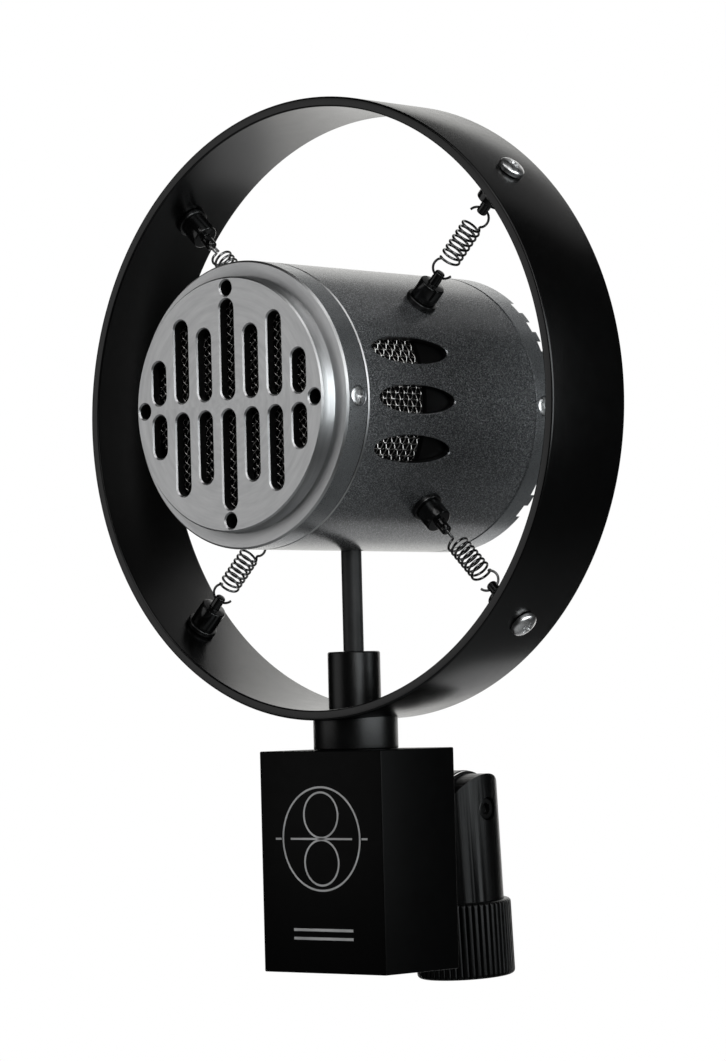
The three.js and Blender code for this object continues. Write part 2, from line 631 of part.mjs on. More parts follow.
function faceSlots() {
  const middle = (SLOT_LENGTHS.length - 1) / 2;
  return SLOT_LENGTHS.flatMap((length, index) => [-1, 1].map((row) => {
    const x = (index - middle) * SLOT_PITCH;
    const z = row * (SLOT_ROW_GAP + length) / 2;
    return uprightSlot(x, z, SLOT_WIDTH, length, FRONT_FACE_Y - 1, FRONT_FACE_Y + FACE_PLATE + 1);
  }));
}

function frontCap() {
  const seam = FRONT_SEAM_Y - GAP / 2;
  const body = turned([
    [0, FRONT_FACE_Y], [FACE_RADIUS - 0.4, FRONT_FACE_Y], [FACE_RADIUS, FRONT_FACE_Y + 0.4],
    [FACE_RADIUS, FRONT_FLANGE_Y - 0.3], [DRUM_RADIUS - 0.4, FRONT_FLANGE_Y],
    [DRUM_RADIUS, FRONT_FLANGE_Y + 0.4], [DRUM_RADIUS, seam - 0.3], [DRUM_RADIUS - 0.3, seam], [SPIGOT_RADIUS, seam],
    [SPIGOT_RADIUS, seam + SPIGOT_LENGTH], [CAP_BORE, seam + SPIGOT_LENGTH],
    [CAP_BORE, FRONT_FLANGE_Y + 2], [FACE_RECESS_RADIUS, FRONT_FLANGE_Y + 2],
    [FACE_RECESS_RADIUS, FRONT_FACE_Y + FACE_PLATE], [0, FRONT_FACE_Y + FACE_PLATE],
  ], DRUM_SEGMENTS, 'y');
  const faceHoles = [0, 90, 180, 270].map((angle) => rod(FACE_HOLE_RADIUS, -50, -40, 'y', 12)
    .translate(FACE_HOLE_CIRCLE * Math.cos(radians(angle)), 0, FACE_HOLE_CIRCLE * Math.sin(radians(angle))));
  const sideHoles = Object.values(CAP_SCREW_ANGLES).map((angle) => capScrewHole(angle, FRONT_SCREW_Y));
  return cut(solid(body), ...faceSlots(), ...faceHoles, ...sideHoles);
}

// The grooves run level across the whole back. Inside the cap they break through into open slots.
function backCap() {
  const seam = BACK_SEAM_Y + GAP / 2;
  const grooveFloor = BACK_FACE_Y - GROOVE_DEPTH;
  const body = turned([
    [0, BACK_FACE_Y], [DRUM_RADIUS - 0.4, BACK_FACE_Y], [DRUM_RADIUS, BACK_FACE_Y - 0.4],
    [DRUM_RADIUS, seam + 0.3], [DRUM_RADIUS - 0.3, seam], [SPIGOT_RADIUS, seam],
    [SPIGOT_RADIUS, seam - SPIGOT_LENGTH], [CAP_BORE, seam - SPIGOT_LENGTH], [CAP_BORE, grooveFloor - 1.5],
    [BACK_RECESS_RADIUS, grooveFloor - 1.5], [BACK_RECESS_RADIUS, grooveFloor + 0.4], [0, grooveFloor + 0.4],
  ], DRUM_SEGMENTS, 'y');
  const grooves = Array.from({ length: GROOVE_COUNT }, (_, index) => {
    const z = (index - (GROOVE_COUNT - 1) / 2) * GROOVE_PITCH;
    return box([-40, 40], [grooveFloor, BACK_FACE_Y + 1], [z - GROOVE_WIDTH / 2, z + GROOVE_WIDTH / 2]);
  });
  const sideHoles = Object.values(CAP_SCREW_ANGLES).map((angle) => capScrewHole(angle, BACK_SCREW_Y));
  return cut(solid(body), ...grooves, ...sideHoles);
}

function ventOpening(angle) {
  const outline = new THREE.Shape();
  outline.absellipse(0, 0, VENT_WIDTH / 2, VENT_LENGTH / 2, 0, 2 * Math.PI);
  return towards(prism(outline, 30, 40, 10), angle).translate(0, VENT_CENTRE_Y, 0);
}

function barrel() {
  const from = FRONT_SEAM_Y + GAP / 2;
  const to = BACK_SEAM_Y - GAP / 2;
  const shell = turned([
    [BARREL_INNER, from], [DRUM_RADIUS - 0.3, from], [DRUM_RADIUS, from + 0.3],
    [DRUM_RADIUS, to - 0.3], [DRUM_RADIUS - 0.3, to], [BARREL_INNER, to],
  ], DRUM_SEGMENTS, 'y');
  const vents = [0, 180].flatMap((side) => VENT_ANGLES.map((angle) => ventOpening(side + angle)));
  const studHoles = Object.values(SPRING_ANGLES)
    .map((angle) => towards(rod(SHANK_HOLE_RADIUS, 30, 40, 'z', 16), angle));
  const leadHole = rod(LEAD_HOLE_RADIUS, -40, -30);
  return cut(solid(shell), ...vents, ...studHoles, leadHole);
}

function meshDisc(radius, y) {
  return solid(rod(radius, y, y + MESH_THICKNESS, 'y', 48));
}

const LINER_RADIUS = BARREL_INNER - GAP - 0.1;
const LINER_SPLIT_Y = -8.5;         // the side mesh ends and the plain sleeve begins

function sideMesh() {
  const from = FRONT_SEAM_Y + SPIGOT_LENGTH + GAP;
  return solid(tube(LINER_RADIUS, LINER_RADIUS - 0.6, from, LINER_SPLIT_Y - GAP / 2, 'y', 40));
}

function innerSleeve() {
  const to = BACK_SEAM_Y - SPIGOT_LENGTH - GAP;
  const sleeve = solid(tube(LINER_RADIUS, LINER_RADIUS - 1, LINER_SPLIT_Y + GAP / 2, to, 'y', 40));
  return cut(sleeve, rod(LEAD_HOLE_RADIUS, -40, -30));
}

const MAGNET_GAP_HALF = 2.9;
const MAGNET_HALF = 3;
const MOTOR_Y = -4;

function motorFrame() {
  const yoke = box([-16, 16], [-14, 6], [-27, 27]);
  const crossbars = box([-8, 8], [-14, -6], [-32, 32]);
  return cut(join(yoke, crossbars), box([-9.5, 9.5], [-15, 7], [-23, 23]));
}

function magnet() {
  return solid(box([-MAGNET_HALF, MAGNET_HALF], [-9, 9], [-22.5, 22.5]));
}

// A thin foil strip folded into even corrugations.
function ribbon() {
  const folds = 26;
  const half = 22;
  const rise = 0.6;
  const thick = 0.25;
  const front = Array.from({ length: folds + 1 }, (_, i) => [rise * (i % 2), -half + (2 * half * i) / folds]);
  const back = front.map(([y, z]) => [y + thick, z]).reverse();
  const shape = new THREE.Shape([...front, ...back].map(([y, z]) => new THREE.Vector2(y, z)));
  return solid(prism(shape, -2.4, 2.4).applyMatrix4(new THREE.Matrix4().makeBasis(
    new THREE.Vector3(0, 1, 0), new THREE.Vector3(0, 0, 1), new THREE.Vector3(1, 0, 0),
  )));
}

addPiece(micSide, 'front_cap', frontCap(), brushedAluminium);
addPiece(micSide, 'barrel', barrel(), barrelPaint);
addPiece(micSide, 'back_cap', backCap(), barrelPaint);
addPiece(micSide, 'front_mesh', meshDisc(FRONT_MESH_RADIUS, FRONT_MESH_Y), meshSteel);
addPiece(micSide, 'back_mesh', meshDisc(BACK_MESH_RADIUS, BACK_MESH_Y), meshSteel);
addPiece(micSide, 'side_mesh', sideMesh(), meshSteel);
addPiece(micSide, 'inner_sleeve', innerSleeve(), satinBlack);
for (const [side, angle] of Object.entries(CAP_SCREW_ANGLES)) {
  for (const [end, y] of [['front', FRONT_SCREW_Y], ['back', BACK_SCREW_Y]]) {
    addPiece(radialGroup(angle), `${end}_cap_screw_${side}`, capScrew(), polishedSteel).position.y = y;
  }
}
addPiece(micSide, 'motor_frame', motorFrame(), magnetGrey);
for (const [name, side] of [['magnet_right', 1], ['magnet_left', -1]]) {
  addPiece(micSide, name, magnet(), magnetGrey).position.set(side * (MAGNET_GAP_HALF + MAGNET_HALF), MOTOR_Y, 0);
}
addPiece(micSide, 'ribbon', ribbon(), foil).position.y = MOTOR_Y;
addPiece(micSide, 'signal_lead', solid(rod(LEAD_RADIUS, BOSS_TOP_Z - 12, -31, 'z', 20)), leadSleeve);

export default microphone;
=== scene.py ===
import json
import math

import bmesh
import bpy
import numpy as np
from mathutils import Matrix, Vector
from mathutils.geometry import delaunay_2d_cdt


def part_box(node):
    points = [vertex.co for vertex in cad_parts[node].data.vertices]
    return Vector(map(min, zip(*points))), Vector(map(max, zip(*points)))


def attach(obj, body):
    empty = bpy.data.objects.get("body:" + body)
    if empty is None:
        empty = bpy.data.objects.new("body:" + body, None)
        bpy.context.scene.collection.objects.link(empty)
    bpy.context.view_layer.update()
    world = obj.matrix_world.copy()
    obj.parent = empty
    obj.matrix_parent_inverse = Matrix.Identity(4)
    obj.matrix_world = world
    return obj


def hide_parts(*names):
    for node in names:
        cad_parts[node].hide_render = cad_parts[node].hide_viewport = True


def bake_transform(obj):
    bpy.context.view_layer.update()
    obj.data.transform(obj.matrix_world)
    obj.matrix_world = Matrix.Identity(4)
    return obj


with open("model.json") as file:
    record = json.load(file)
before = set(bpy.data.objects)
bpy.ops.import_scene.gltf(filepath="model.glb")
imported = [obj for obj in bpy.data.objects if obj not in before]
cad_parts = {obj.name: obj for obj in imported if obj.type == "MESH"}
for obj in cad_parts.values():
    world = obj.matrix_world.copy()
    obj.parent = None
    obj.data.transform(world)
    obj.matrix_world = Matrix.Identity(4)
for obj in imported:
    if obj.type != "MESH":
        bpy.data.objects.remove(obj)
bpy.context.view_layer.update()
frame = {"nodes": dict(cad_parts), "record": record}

MM = 0.001
RIGHT_ANGLE = math.pi / 2
TURN = 2 * math.pi

# ---- frames ----

ring_low, ring_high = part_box("suspension_ring")
RING_MIDDLE = (ring_low + ring_high) / 2 / MM
JOINTS = {joint["name"]: joint for joint in frame["record"]["behaviour"]["joints"]}
POST_AXIS = Vector(JOINTS["post_swivel"]["axis"])
POST_LEAN = math.atan2(-POST_AXIS.y, POST_AXIS.z)

MIC = Matrix.Translation(RING_MIDDLE)
STAND = Matrix.Rotation(POST_LEAN, 4, "X")
# Takes a shape drawn in XY with its depth along Z to one drawn in XZ with its depth along Y.
DEPTH_ALONG_Y = Matrix(((1, 0, 0, 0), (0, 0, 1, 0), (0, 1, 0, 0), (0, 0, 0, 1)))
DRUM = MIC @ DEPTH_ALONG_Y
HEIGHT_ALONG_X = Matrix.Rotation(RIGHT_ANGLE, 4, "Y")


def spoke(degrees):
    """The microphone's frame turned so that +Z points out from the middle at an angle from +X to +Z."""
    return MIC @ Matrix.Rotation(math.radians(90 - degrees), 4, "Y")


# ---- sizes, as the CAD model has them ----

GAP = 0.3
RING_OUTER, RING_INNER, RING_WIDTH = 80.0, 77.4, 28.5
DRUM_RADIUS, BARREL_INNER, SPIGOT_RADIUS, CAP_BORE = 36.4, 34.7, 34.4, 31.6
FRONT_FACE_Y, FRONT_FLANGE_Y, FRONT_SEAM_Y = -44.9, -40.3, -32.7
BACK_SEAM_Y, BACK_FACE_Y = 32.9, 41.0
SPIGOT_LENGTH = 4.3
FACE_RADIUS, FACE_PLATE, FACE_RECESS, BACK_RECESS = 32.1, 2.6, 30.6, 28.4
COUNTERSINK_RADIUS, CAP_SCREW_BORE = 2.75, 1.3
SLOT_WIDTH, SLOT_PITCH, SLOT_ROW_GAP = 4.7, 8.03, 2.6
SLOT_LENGTHS = (11.1, 21.0, 18.3, 25.2, 18.3, 21.0, 11.1)
FACE_HOLE_RADIUS, FACE_HOLE_CIRCLE = 1.93, 29.3
VENT_LENGTH, VENT_WIDTH, VENT_CENTRE_Y = 28.8, 7.4, -14.0
VENT_ANGLES = (-20.2, 0.0, 20.2)
GROOVE_COUNT, GROOVE_WIDTH, GROOVE_PITCH, GROOVE_DEPTH = 11, 2.7, 5.33, 1.9
SPRING_ANGLES = {"upper_right": 45, "upper_left": 135, "lower_left": 225, "lower_right": 315}
CAP_SCREW_ANGLES = {"right": 0, "left": 180}
CAP_SCREW_Y = {"front": -36.3, "back": 36.4}
STUD_RADIUS, WASHER_RADIUS, PIN_RADIUS, PIN_EYE_RADIUS, SHANK_RADIUS = 3.5, 4.2, 1.4, 0.8, 1.5
WASHER_DEPTH = 1.5  # from the drum or the ring to the shoulder of the stud on it
DRUM_STUD_END, DRUM_PIN_END, DRUM_EYE = 42.9, 46.7, 45.5
RING_STUD_END, RING_PIN_END, RING_EYE = 69.9, 66.1, 67.3
WIRE_RADIUS, COIL_RADIUS, COIL_START, COIL_END, COIL_WHOLE_TURNS = 0.33, 2.6, 50.8, 62.2, 7
HOOK_RADIUS, HOOK_SEAT, HOOK_OPEN_END, HOOK_COIL_END, HOOK_TO_COIL = 2.75, 0.25, -75, 140, 0.5
# Degrees that the drum hook and the ring hook are turned about each spring, from Y.
HOOK_TURNS = {
    "upper_right": (124, -56), "upper_left": (-56, 200), "lower_left": (55, 236), "lower_right": (149, 59),
}
LEAD_RADIUS, LEAD_HOLE_RADIUS = 2.65, 3.2
BOSS_RADIUS, BOSS_TOP_Z, NECK_RADIUS = 6.8, -62.45, 10.95
BLOCK_WIDTH, BLOCK_DEPTH, BLOCK_HEIGHT, BLOCK_TOP_Z, BLOCK_WALL = 41.9, 28.5, 56.8, -87.7, 2.4
BLOCK_BASE_Z = BLOCK_TOP_Z - BLOCK_HEIGHT
BASE_PLATE_TOP_Z = BLOCK_BASE_Z + 2.6
SOCKET_RADIUS, SOCKET_DEPTH, CONTACT_CIRCLE = 9.2, 14.0, 3.55
BASE_SCREW_X, BRACKET_SCREW_X = 14.6, 6.5
BASE_SCREW_HEAD_RADIUS, BASE_SCREW_SEAT_Z = 2.1, BLOCK_BASE_Z + 1.4
PIVOT_BEHIND_RING, PIVOT_BELOW_RING, PIVOT_HEIGHT = 38.95, 104.5, 44.2
POST_RADIUS, FORK_ROUND, FORK_ROUND_DROP, TONGUE_ROUND = 11.2, 10.3, 1.0, 10.2
TONGUE_HALF, SLOT_HALF, PIVOT_BORE, FRICTION_WASHER_RADIUS = 3.2, 4.4, 2.6, 10.05
COLLAR_RADIUS, COLLAR_HEIGHT, COLLAR_RIBS, RIB_DEPTH, THREAD_BORE = 13.0, 20.0, 48, 0.75, 7.5
LINER_MIDDLE, LINER_SPLIT_Y = 34.0, -8.5
MESH_PITCH, MESH_WIRE = 1.6, 0.24
FRONT_MESH_Y, FRONT_MESH_RADIUS, BACK_MESH_Y, BACK_MESH_RADIUS = -41.55, 27.3, 38.45, 28.0
# The dark sheet behind the wire cloth, painted shade that hides the inside of the drum: how far it is from
# the middle of the cloth, and how thick.
LINING_GAP, LINING_THICKNESS = 0.6, 0.15
SEAM_EASE = 0.3  # the bevel on each side of the seams between the barrel and its caps

# ---- shapes ----


class Shape:
    """Points and faces gathered before they become one mesh. A look is the number of a face's material."""

    def __init__(self):
        self.points, self.faces, self.looks, self.count = [], [], [], 0

    def add(self, points, faces, look):
        points = np.asarray(points, float).reshape(-1, 3)
        self.points.append(points)
        self.faces += [[self.count + int(i) for i in face] for face in faces]
        self.looks += [look] * len(faces)
        self.count += len(points)
        return self

    def loft(self, loops, look=0, around=False, ends=False):
        """Quads between loops of equal length. The last loop meets the first if around is set."""
        loops = [np.asarray(loop, float) for loop in loops]
        rows, size = len(loops), len(loops[0])
        faces = []
        for row in range(rows if around else rows - 1):
            a, b = row * size, (row + 1) % rows * size
            for i in range(size):
                j = (i + 1) % size
                faces.append((a + i, a + j, b + j, b + i))
        if ends:
            faces.append(tuple(range(size)))
            faces.append(tuple((rows - 1) * size + i for i in range(size)))
        return self.add(np.vstack(loops), faces, look)

    def revolve(self, profile, segments, look=0, around=True):
        """A profile of (radius, height) turned about Z, joined to its own start if around is set."""
        return self.loft([circle(r, segments, h) for r, h in profile], look, around=around)

    def sweep(self, path, radius, sides, closed=False, reference=None):
        """A round wire along a path, level with the reference or else turning as little as it can."""
        path = np.asarray(path, float)
        if closed:
            tangent = np.roll(path, -1, 0) - np.roll(path, 1, 0)
        else:
            tangent = np.gradient(path, axis=0)
        tangent /= np.linalg.norm(tangent, axis=1)[:, None]
        if reference is None:
            side = np.empty_like(tangent)
            side[0] = np.cross(tangent[0], np.eye(3)[np.argmin(abs(tangent[0]))])
            for i in range(1, len(path)):
                side[i] = side[i - 1] - tangent[i] * side[i - 1].dot(tangent[i])
                side[i] /= np.linalg.norm(side[i])
        else:
            side = np.cross(tangent, reference)
        side /= np.linalg.norm(side, axis=1)[:, None]
        other = np.cross(tangent, side)
        loops = []
        angles = np.arange(sides) * TURN / sides
        for p, s, o in zip(path, side, other):
            loops.append(p + radius * (np.cos(angles)[:, None] * s + np.sin(angles)[:, None] * o))
        return self.loft(loops, around=closed, ends=not closed)


def circle(radius, segments, height=0.0, middle=(0.0, 0.0)):
    angles = np.arange(segments) * TURN / segments
    columns = (middle[0] + radius * np.cos(angles), middle[1] + radius * np.sin(angles))
    return np.column_stack([*columns, np.full(segments, height)])


def eased(corners, radius, steps=3, closed=True):
    """An outline with its corners rounded. A corner's own third number overrides the radius."""
    points = [np.array(corner[:2], float) for corner in corners]
    out = []
    for i, corner in enumerate(corners):
        point, last = points[i], points[i - 1]
        following = points[(i + 1) % len(points)]
        size = corner[2] if len(corner) > 2 else radius
        back, on = last - point, following - point
        lengths = np.linalg.norm(back), np.linalg.norm(on)
        if size == 0 or min(lengths) < 1e-6 or (not closed and i in (0, len(points) - 1)):
            out.append(tuple(point))
            continue
        back, on = back / lengths[0], on / lengths[1]
        half = (math.pi - math.acos(float(np.clip(back @ on, -1, 1)))) / 2
        if half < 0.02:
            out.append(tuple(point))
            continue
        reach = min(size * math.tan(half), 0.48 * min(lengths))
        middle = point + (back + on) / np.linalg.norm(back + on) * reach / math.sin(half)
        first, final = point + back * reach - middle, point + on * reach - middle
        whole = 2 * half
        for step in range(steps + 1):
            share = step / steps
            weights = math.sin((1 - share) * whole), math.sin(share * whole)
            out.append(tuple(middle + (weights[0] * first + weights[1] * final) / math.sin(whole)))
    return out


def slot_outline(x, y, width, length):
    """An upright slot with round ends."""
    steps = 12
    r, reach = width / 2, (length - width) / 2
    up, down = np.linspace(0, math.pi, steps), np.linspace(math.pi, TURN, steps)
    top = np.column_stack([x + r * np.cos(up), y + reach + r * np.sin(up)])
    return np.vstack([top, np.column_stack([x + r * np.cos(down), y - reach + r * np.sin(down)])])


def ellipse(x, y, half_width, half_height, steps):
    angles = np.arange(steps) * TURN / steps
    return np.column_stack([x + half_width * np.cos(angles), y + half_height * np.sin(angles)])


def inside(points, outline):
    """Which points lie inside a closed outline."""
    points, outline = np.asarray(points), np.asarray(outline)
    result = np.zeros(len(points), bool)
    for (x0, y0), (x1, y1) in zip(outline, np.roll(outline, -1, 0)):
        if y0 == y1:
            continue
        crosses = (points[:, 1] < y0) != (points[:, 1] < y1)
        result ^= crosses & (points[:, 0] < x0 + (points[:, 1] - y0) * (x1 - x0) / (y1 - y0))
    return result


def filled(outer, holes, extra=None):
    """Points and triangles of the flat area inside one outline and outside the others."""
    loops = [np.asarray(loop)[:, :2] for loop in (outer, *holes)]
    coords = [Vector(point) for loop in loops for point in loop]
    edges, start = [], 0
    for loop in loops:
        edges += [(start + i, start + (i + 1) % len(loop)) for i in range(len(loop))]
        start += len(loop)
    if extra is not None:
        coords += [Vector(point) for point in extra]
    found, _, faces, *_ = delaunay_2d_cdt(coords, edges, [], 0, 1e-6)
    points = np.array([tuple(point) for point in found])
    middles = np.array([points[list(face)].mean(0) for face in faces])
    keep = inside(middles, loops[0])
    for loop in loops[1:]:
        keep &= ~inside(middles, loop)
    return points, [face for face, kept in zip(faces, keep) if kept]


def add_plate(shape, outer, holes, height, look=0):
    points, faces = filled(outer, holes)
    shape.add(np.column_stack([points, np.full(len(points), height)]), faces, look)


def on_cylinder(points, radius):
    """Takes (angle, height) points to a cylinder about Z. The radius may differ from point to point."""
    points = np.asarray(points)
    radius = np.broadcast_to(radius, len(points))
    return np.column_stack(
        [radius * np.cos(points[:, 0]), radius * np.sin(points[:, 0]), points[:, 1]]
    )


def add_wrapped(shape, radius, bottom, top, segments, rows, holes, look=0, turn=0.0):
    """A cylinder between two heights with holes given as outlines in (angle, height), turned at the end."""
    flat = np.array([radius, 1.0])
    angles = np.linspace(-math.pi, math.pi, segments + 1)
    heights = np.linspace(bottom, top, rows + 1)
    edge = [(a, bottom) for a in angles] + [(math.pi, h) for h in heights[1:-1]]
    edge += [(a, top) for a in angles[::-1]] + [(-math.pi, h) for h in heights[-2:0:-1]]
    grid = np.array([(a, h) for a in angles[1:-1] for h in heights[1:-1]]).reshape(-1, 2) * flat
    rims = [hole * flat for hole in holes]
    for rim in rims:
        apart = np.linalg.norm(grid[:, None] - rim[None], axis=2).min(1)
        grid = grid[(apart > 0.3) & ~inside(grid, rim)]
    points, faces = filled(np.array(edge) * flat, rims, grid)
    shape.add(on_cylinder(points / flat + (turn, 0), radius), faces, look)


# ---- from shapes to meshes ----


def moved(x, y, z):
    return Matrix.Translation((x, y, z))


def linked(name, data):
    """A new object that holds the data, put in the scene."""
    item = bpy.data.objects.new(name, data)
    bpy.context.scene.collection.objects.link(item)
    return item


def raw_mesh(shape, matrix=Matrix()):
    """A merged mesh in millimetres with its faces turned outwards."""
    mesh = bpy.data.meshes.new("raw")
    mesh.from_pydata(np.vstack(shape.points).tolist(), [], shape.faces)
    mesh.polygons.foreach_set("material_index", shape.looks)
    mesh.transform(matrix)
    edit = bmesh.new()
    edit.from_mesh(mesh)
    bmesh.ops.remove_doubles(edit, verts=edit.verts, dist=0.002)
    bmesh.ops.dissolve_degenerate(edit, edges=edit.edges, dist=0.0005)
    bmesh.ops.recalc_face_normals(edit, faces=edit.faces)
    edit.to_mesh(mesh)
    edit.free()
    return mesh


def combined(base, tools=(), operation="DIFFERENCE", bevel=0.0, steps=2, angle=35):
    """The mesh left when each tool is cut from, joined to or met with base, with its edges then bevelled."""
    holder = linked("holder", base)
    scratch = [holder]
    for tool in tools:
        scratch.append(linked("cutter", tool))
        modifier = holder.modifiers.new("cut", "BOOLEAN")
        modifier.operation = operation
        modifier.solver = "EXACT"
        modifier.object = scratch[-1]
    if bevel:
        modifier = holder.modifiers.new("ease", "BEVEL")
        modifier.width = bevel
        modifier.segments = steps
        modifier.limit_method = "ANGLE"
        modifier.angle_limit = math.radians(angle)
    bpy.context.view_layer.update()
    graph = bpy.context.evaluated_depsgraph_get()
    mesh = bpy.data.meshes.new_from_object(holder.evaluated_get(graph))
    for item in scratch:
        bpy.data.objects.remove(item)
    return mesh


def turned(profile, segments, matrix=Matrix()):
    """A solid turned about Z from a profile that starts and ends on the axis."""
    return raw_mesh(Shape().revolve(profile, segments, around=False), matrix)


def rod_mesh(radius, bottom, top, matrix=Matrix(), segments=48):
    return turned([(0, bottom), (radius, bottom), (radius, top), (0, top)], segments, matrix)


def box_mesh(x, y, z):
    corners = [(a, b, c) for c in z for a, b in ((x[0], y[0]), (x[1], y[0]), (x[1], y[1]), (x[0], y[1]))]
    return raw_mesh(Shape().loft([corners[:4], corners[4:]], ends=True))


def place(name, mesh, looks, body, node, matrix, blend=None, sharp=32):
    """Makes the finished piece: in metres, smooth but for its sharp edges, and riding on its body, or fixed
    in the world when blend is set.

    It stands for the CAD node. With blend, body is not used, and the ends in blend are not used.
    """
    mesh.transform(Matrix.Scale(MM, 4) @ matrix)
    if matrix.determinant() < 0:
        mesh.flip_normals()
    mesh.name = name
    chosen = [polygon.material_index for polygon in mesh.polygons]
    mesh.materials.clear()
    for look in looks:
        mesh.materials.append(look)
    mesh.polygons.foreach_set("material_index", chosen)
    mesh.shade_smooth()
    mesh.set_sharp_from_angle(angle=math.radians(sharp))
    piece = linked(name, mesh)
    if blend:
        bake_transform(piece)
    else:
        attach(piece, body)
    if node:
        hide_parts(node)


# ---- materials ----


class Look:
    """A Principled material and short ways to wire it. Sizes given to its textures are millimetres."""

    def __init__(self, name, metallic, roughness, **sockets):
        self.material = bpy.data.materials.new(name)
        self.material.use_nodes = True
        self.tree = self.material.node_tree
        self.shader = self.tree.nodes["Principled BSDF"]
        self.shader.inputs["Metallic"].default_value = metallic
        self.shader.inputs["Roughness"].default_value = roughness
        for socket, value in sockets.items():
            self.shader.inputs[socket.replace("_", " ")].default_value = value
        self.coordinates = self.node("ShaderNodeTexCoord").outputs["Object"]

    def node(self, kind, inputs=(), **settings):
        node = self.tree.nodes.new(kind)
        for key, value in settings.items():
            setattr(node, key, value)
        for key, value in dict(inputs).items():
            if isinstance(value, bpy.types.NodeSocket):
                self.tree.links.new(value, node.inputs[key])
            else:
                node.inputs[key].default_value = value
        return node

    def noise(self, size, detail, roughness=0.5, vector=None):
        inputs = {
            "Vector": vector or self.coordinates,
            "Scale": 1 / (size * MM),
            "Detail": detail,
            "Roughness": roughness,
        }
        return self.node("ShaderNodeTexNoise", inputs).outputs["Fac"]

    def cells(self, size):
        inputs = {"Vector": self.coordinates, "Scale": 1 / (size * MM)}
        voronoi = self.node("ShaderNodeTexVoronoi", inputs)
        return self.node("ShaderNodeSeparateColor", {"Color": voronoi.outputs["Color"]}).outputs[0]

    def spread(self, value, low, high, start=0.3, end=0.7):
        inputs = {"Value": value, "From Min": start, "From Max": end, "To Min": low, "To Max": high}
        return self.node("ShaderNodeMapRange", inputs).outputs["Result"]

    def math(self, operation, a, b):
        return self.node("ShaderNodeMath", {0: a, 1: b}, operation=operation).outputs[0]

    def blended(self, factor, first, second):
        node = self.node("ShaderNodeMix", data_type="RGBA")
        for socket, value in (("Factor", factor), ("A", first), ("B", second)):
            places = [s for s in node.inputs if s.name == socket and s.enabled]
            if isinstance(value, bpy.types.NodeSocket):
                self.tree.links.new(value, places[0])
            else:
                places[0].default_value = value
        return next(s for s in node.outputs if s.enabled)

    def colour(self, factor, first, second):
        """Colours the surface between two shades."""
        out = self.blended(factor, (*first, 1), (*second, 1))
        self.tree.links.new(out, self.shader.inputs["Base Color"])

    def rough(self, socket):
        self.tree.links.new(socket, self.shader.inputs["Roughness"])

    def bump(self, height, distance):
        inputs = {"Height": height, "Distance": distance * MM, "Strength": 1.0}
        out = self.node("ShaderNodeBump", inputs).outputs["Normal"]
        self.tree.links.new(out, self.shader.inputs["Normal"])


def grey(value, warm=0.0):
    return (value * (1 + warm), value, value * (1 - warm))


def painted(name, shade, roughness, grain, depth, gloss=0.35, metallic=0.0):
    """Paint or anodising with a fine grain, a little uneven in shade and gloss."""
    look = Look(name, metallic, roughness, Specular_IOR_Level=gloss)
    mottle = look.noise(9.0, 3.0)
    fine = look.noise(grain, 3.0, 0.6)
    look.colour(look.spread(mottle, 0, 1), grey(shade * 0.8), grey(shade * 1.2))
    look.rough(look.spread(look.noise(3.5, 4.0), roughness * 0.94, roughness * 1.06))
    look.bump(fine, depth)
    return look.material


def metal(name, shade, roughness, warm=0.0):
    """Bare or plated metal, a little uneven in shade and gloss."""
    look = Look(name, 1.0, roughness)
    look.colour(look.spread(look.noise(2.5, 4.0), 0, 1), grey(shade * 0.86, warm), grey(shade * 1.08, warm))
    look.rough(look.spread(look.noise(0.9, 3.0), roughness * 0.8, roughness * 1.3))
    look.bump(look.noise(0.25, 2.0), 0.004)
    return look.material


def drum_coordinates(look):
    """Radius about the drum's axis, angle round it, and place along it, in metres."""
    middle = RING_MIDDLE * MM
    centred = look.node("ShaderNodeVectorMath", {0: look.coordinates, 1: middle}, operation="SUBTRACT")
    parts = look.node("ShaderNodeSeparateXYZ", {0: centred.outputs[0]}).outputs
    squares = [look.math("MULTIPLY", parts[axis], parts[axis]) for axis in (0, 2)]
    radius = look.math("POWER", look.math("ADD", *squares), 0.5)
    return radius, look.math("ARCTAN2", parts[2], parts[0]), parts[1]


def turned_aluminium():
    """Bright aluminium off a lathe: fine rings about the axis, and gloss that spreads across them."""
    look = Look("turned_aluminium", 1.0, 0.36, Anisotropic=0.5, Anisotropic_Rotation=0.25)
    radius, angle, along = drum_coordinates(look)
    lathe = look.node("ShaderNodeCombineXYZ", {0: radius, 1: along, 2: look.math("MULTIPLY", angle, 0.004)})
    fine = look.noise(0.16, 4.0, 0.7, lathe.outputs[0])
    broad = look.noise(1.6, 3.0, 0.6, lathe.outputs[0])
    look.colour(look.spread(broad, 0, 1), grey(0.56, -0.008), grey(0.68, -0.004))
    look.rough(look.spread(fine, 0.33, 0.41))
    look.bump(fine, 0.002)
    tangent = look.node("ShaderNodeTangent", direction_type="RADIAL", axis="Y")
    look.tree.links.new(tangent.outputs[0], look.shader.inputs["Tangent"])
    return look.material


def flake_paint(name, metallic, shade, roughness, flake, amount):
    """Grey metallic paint with bright flakes in it."""
    look = Look(name, metallic, roughness, Coat_Weight=0.15, Coat_Roughness=0.25)
    mottle = look.spread(look.noise(7.0, 3.0), 0, 1)
    ground = look.blended(mottle, (*grey(shade * 0.9, -0.03), 1), (*grey(shade * 1.12, -0.03), 1))
    cells = look.cells(flake)
    bright = look.math("MULTIPLY", look.spread(cells, 0, 1, 0.78, 1.0), amount)
    coloured = look.blended(bright, ground, (0.75, 0.76, 0.78, 1))
    look.tree.links.new(coloured, look.shader.inputs["Base Color"])
    look.rough(look.spread(cells, roughness - 0.09, roughness + 0.09, 0, 1))
    look.bump(look.noise(flake * 1.2, 2.0), 0.006)
    return look.material


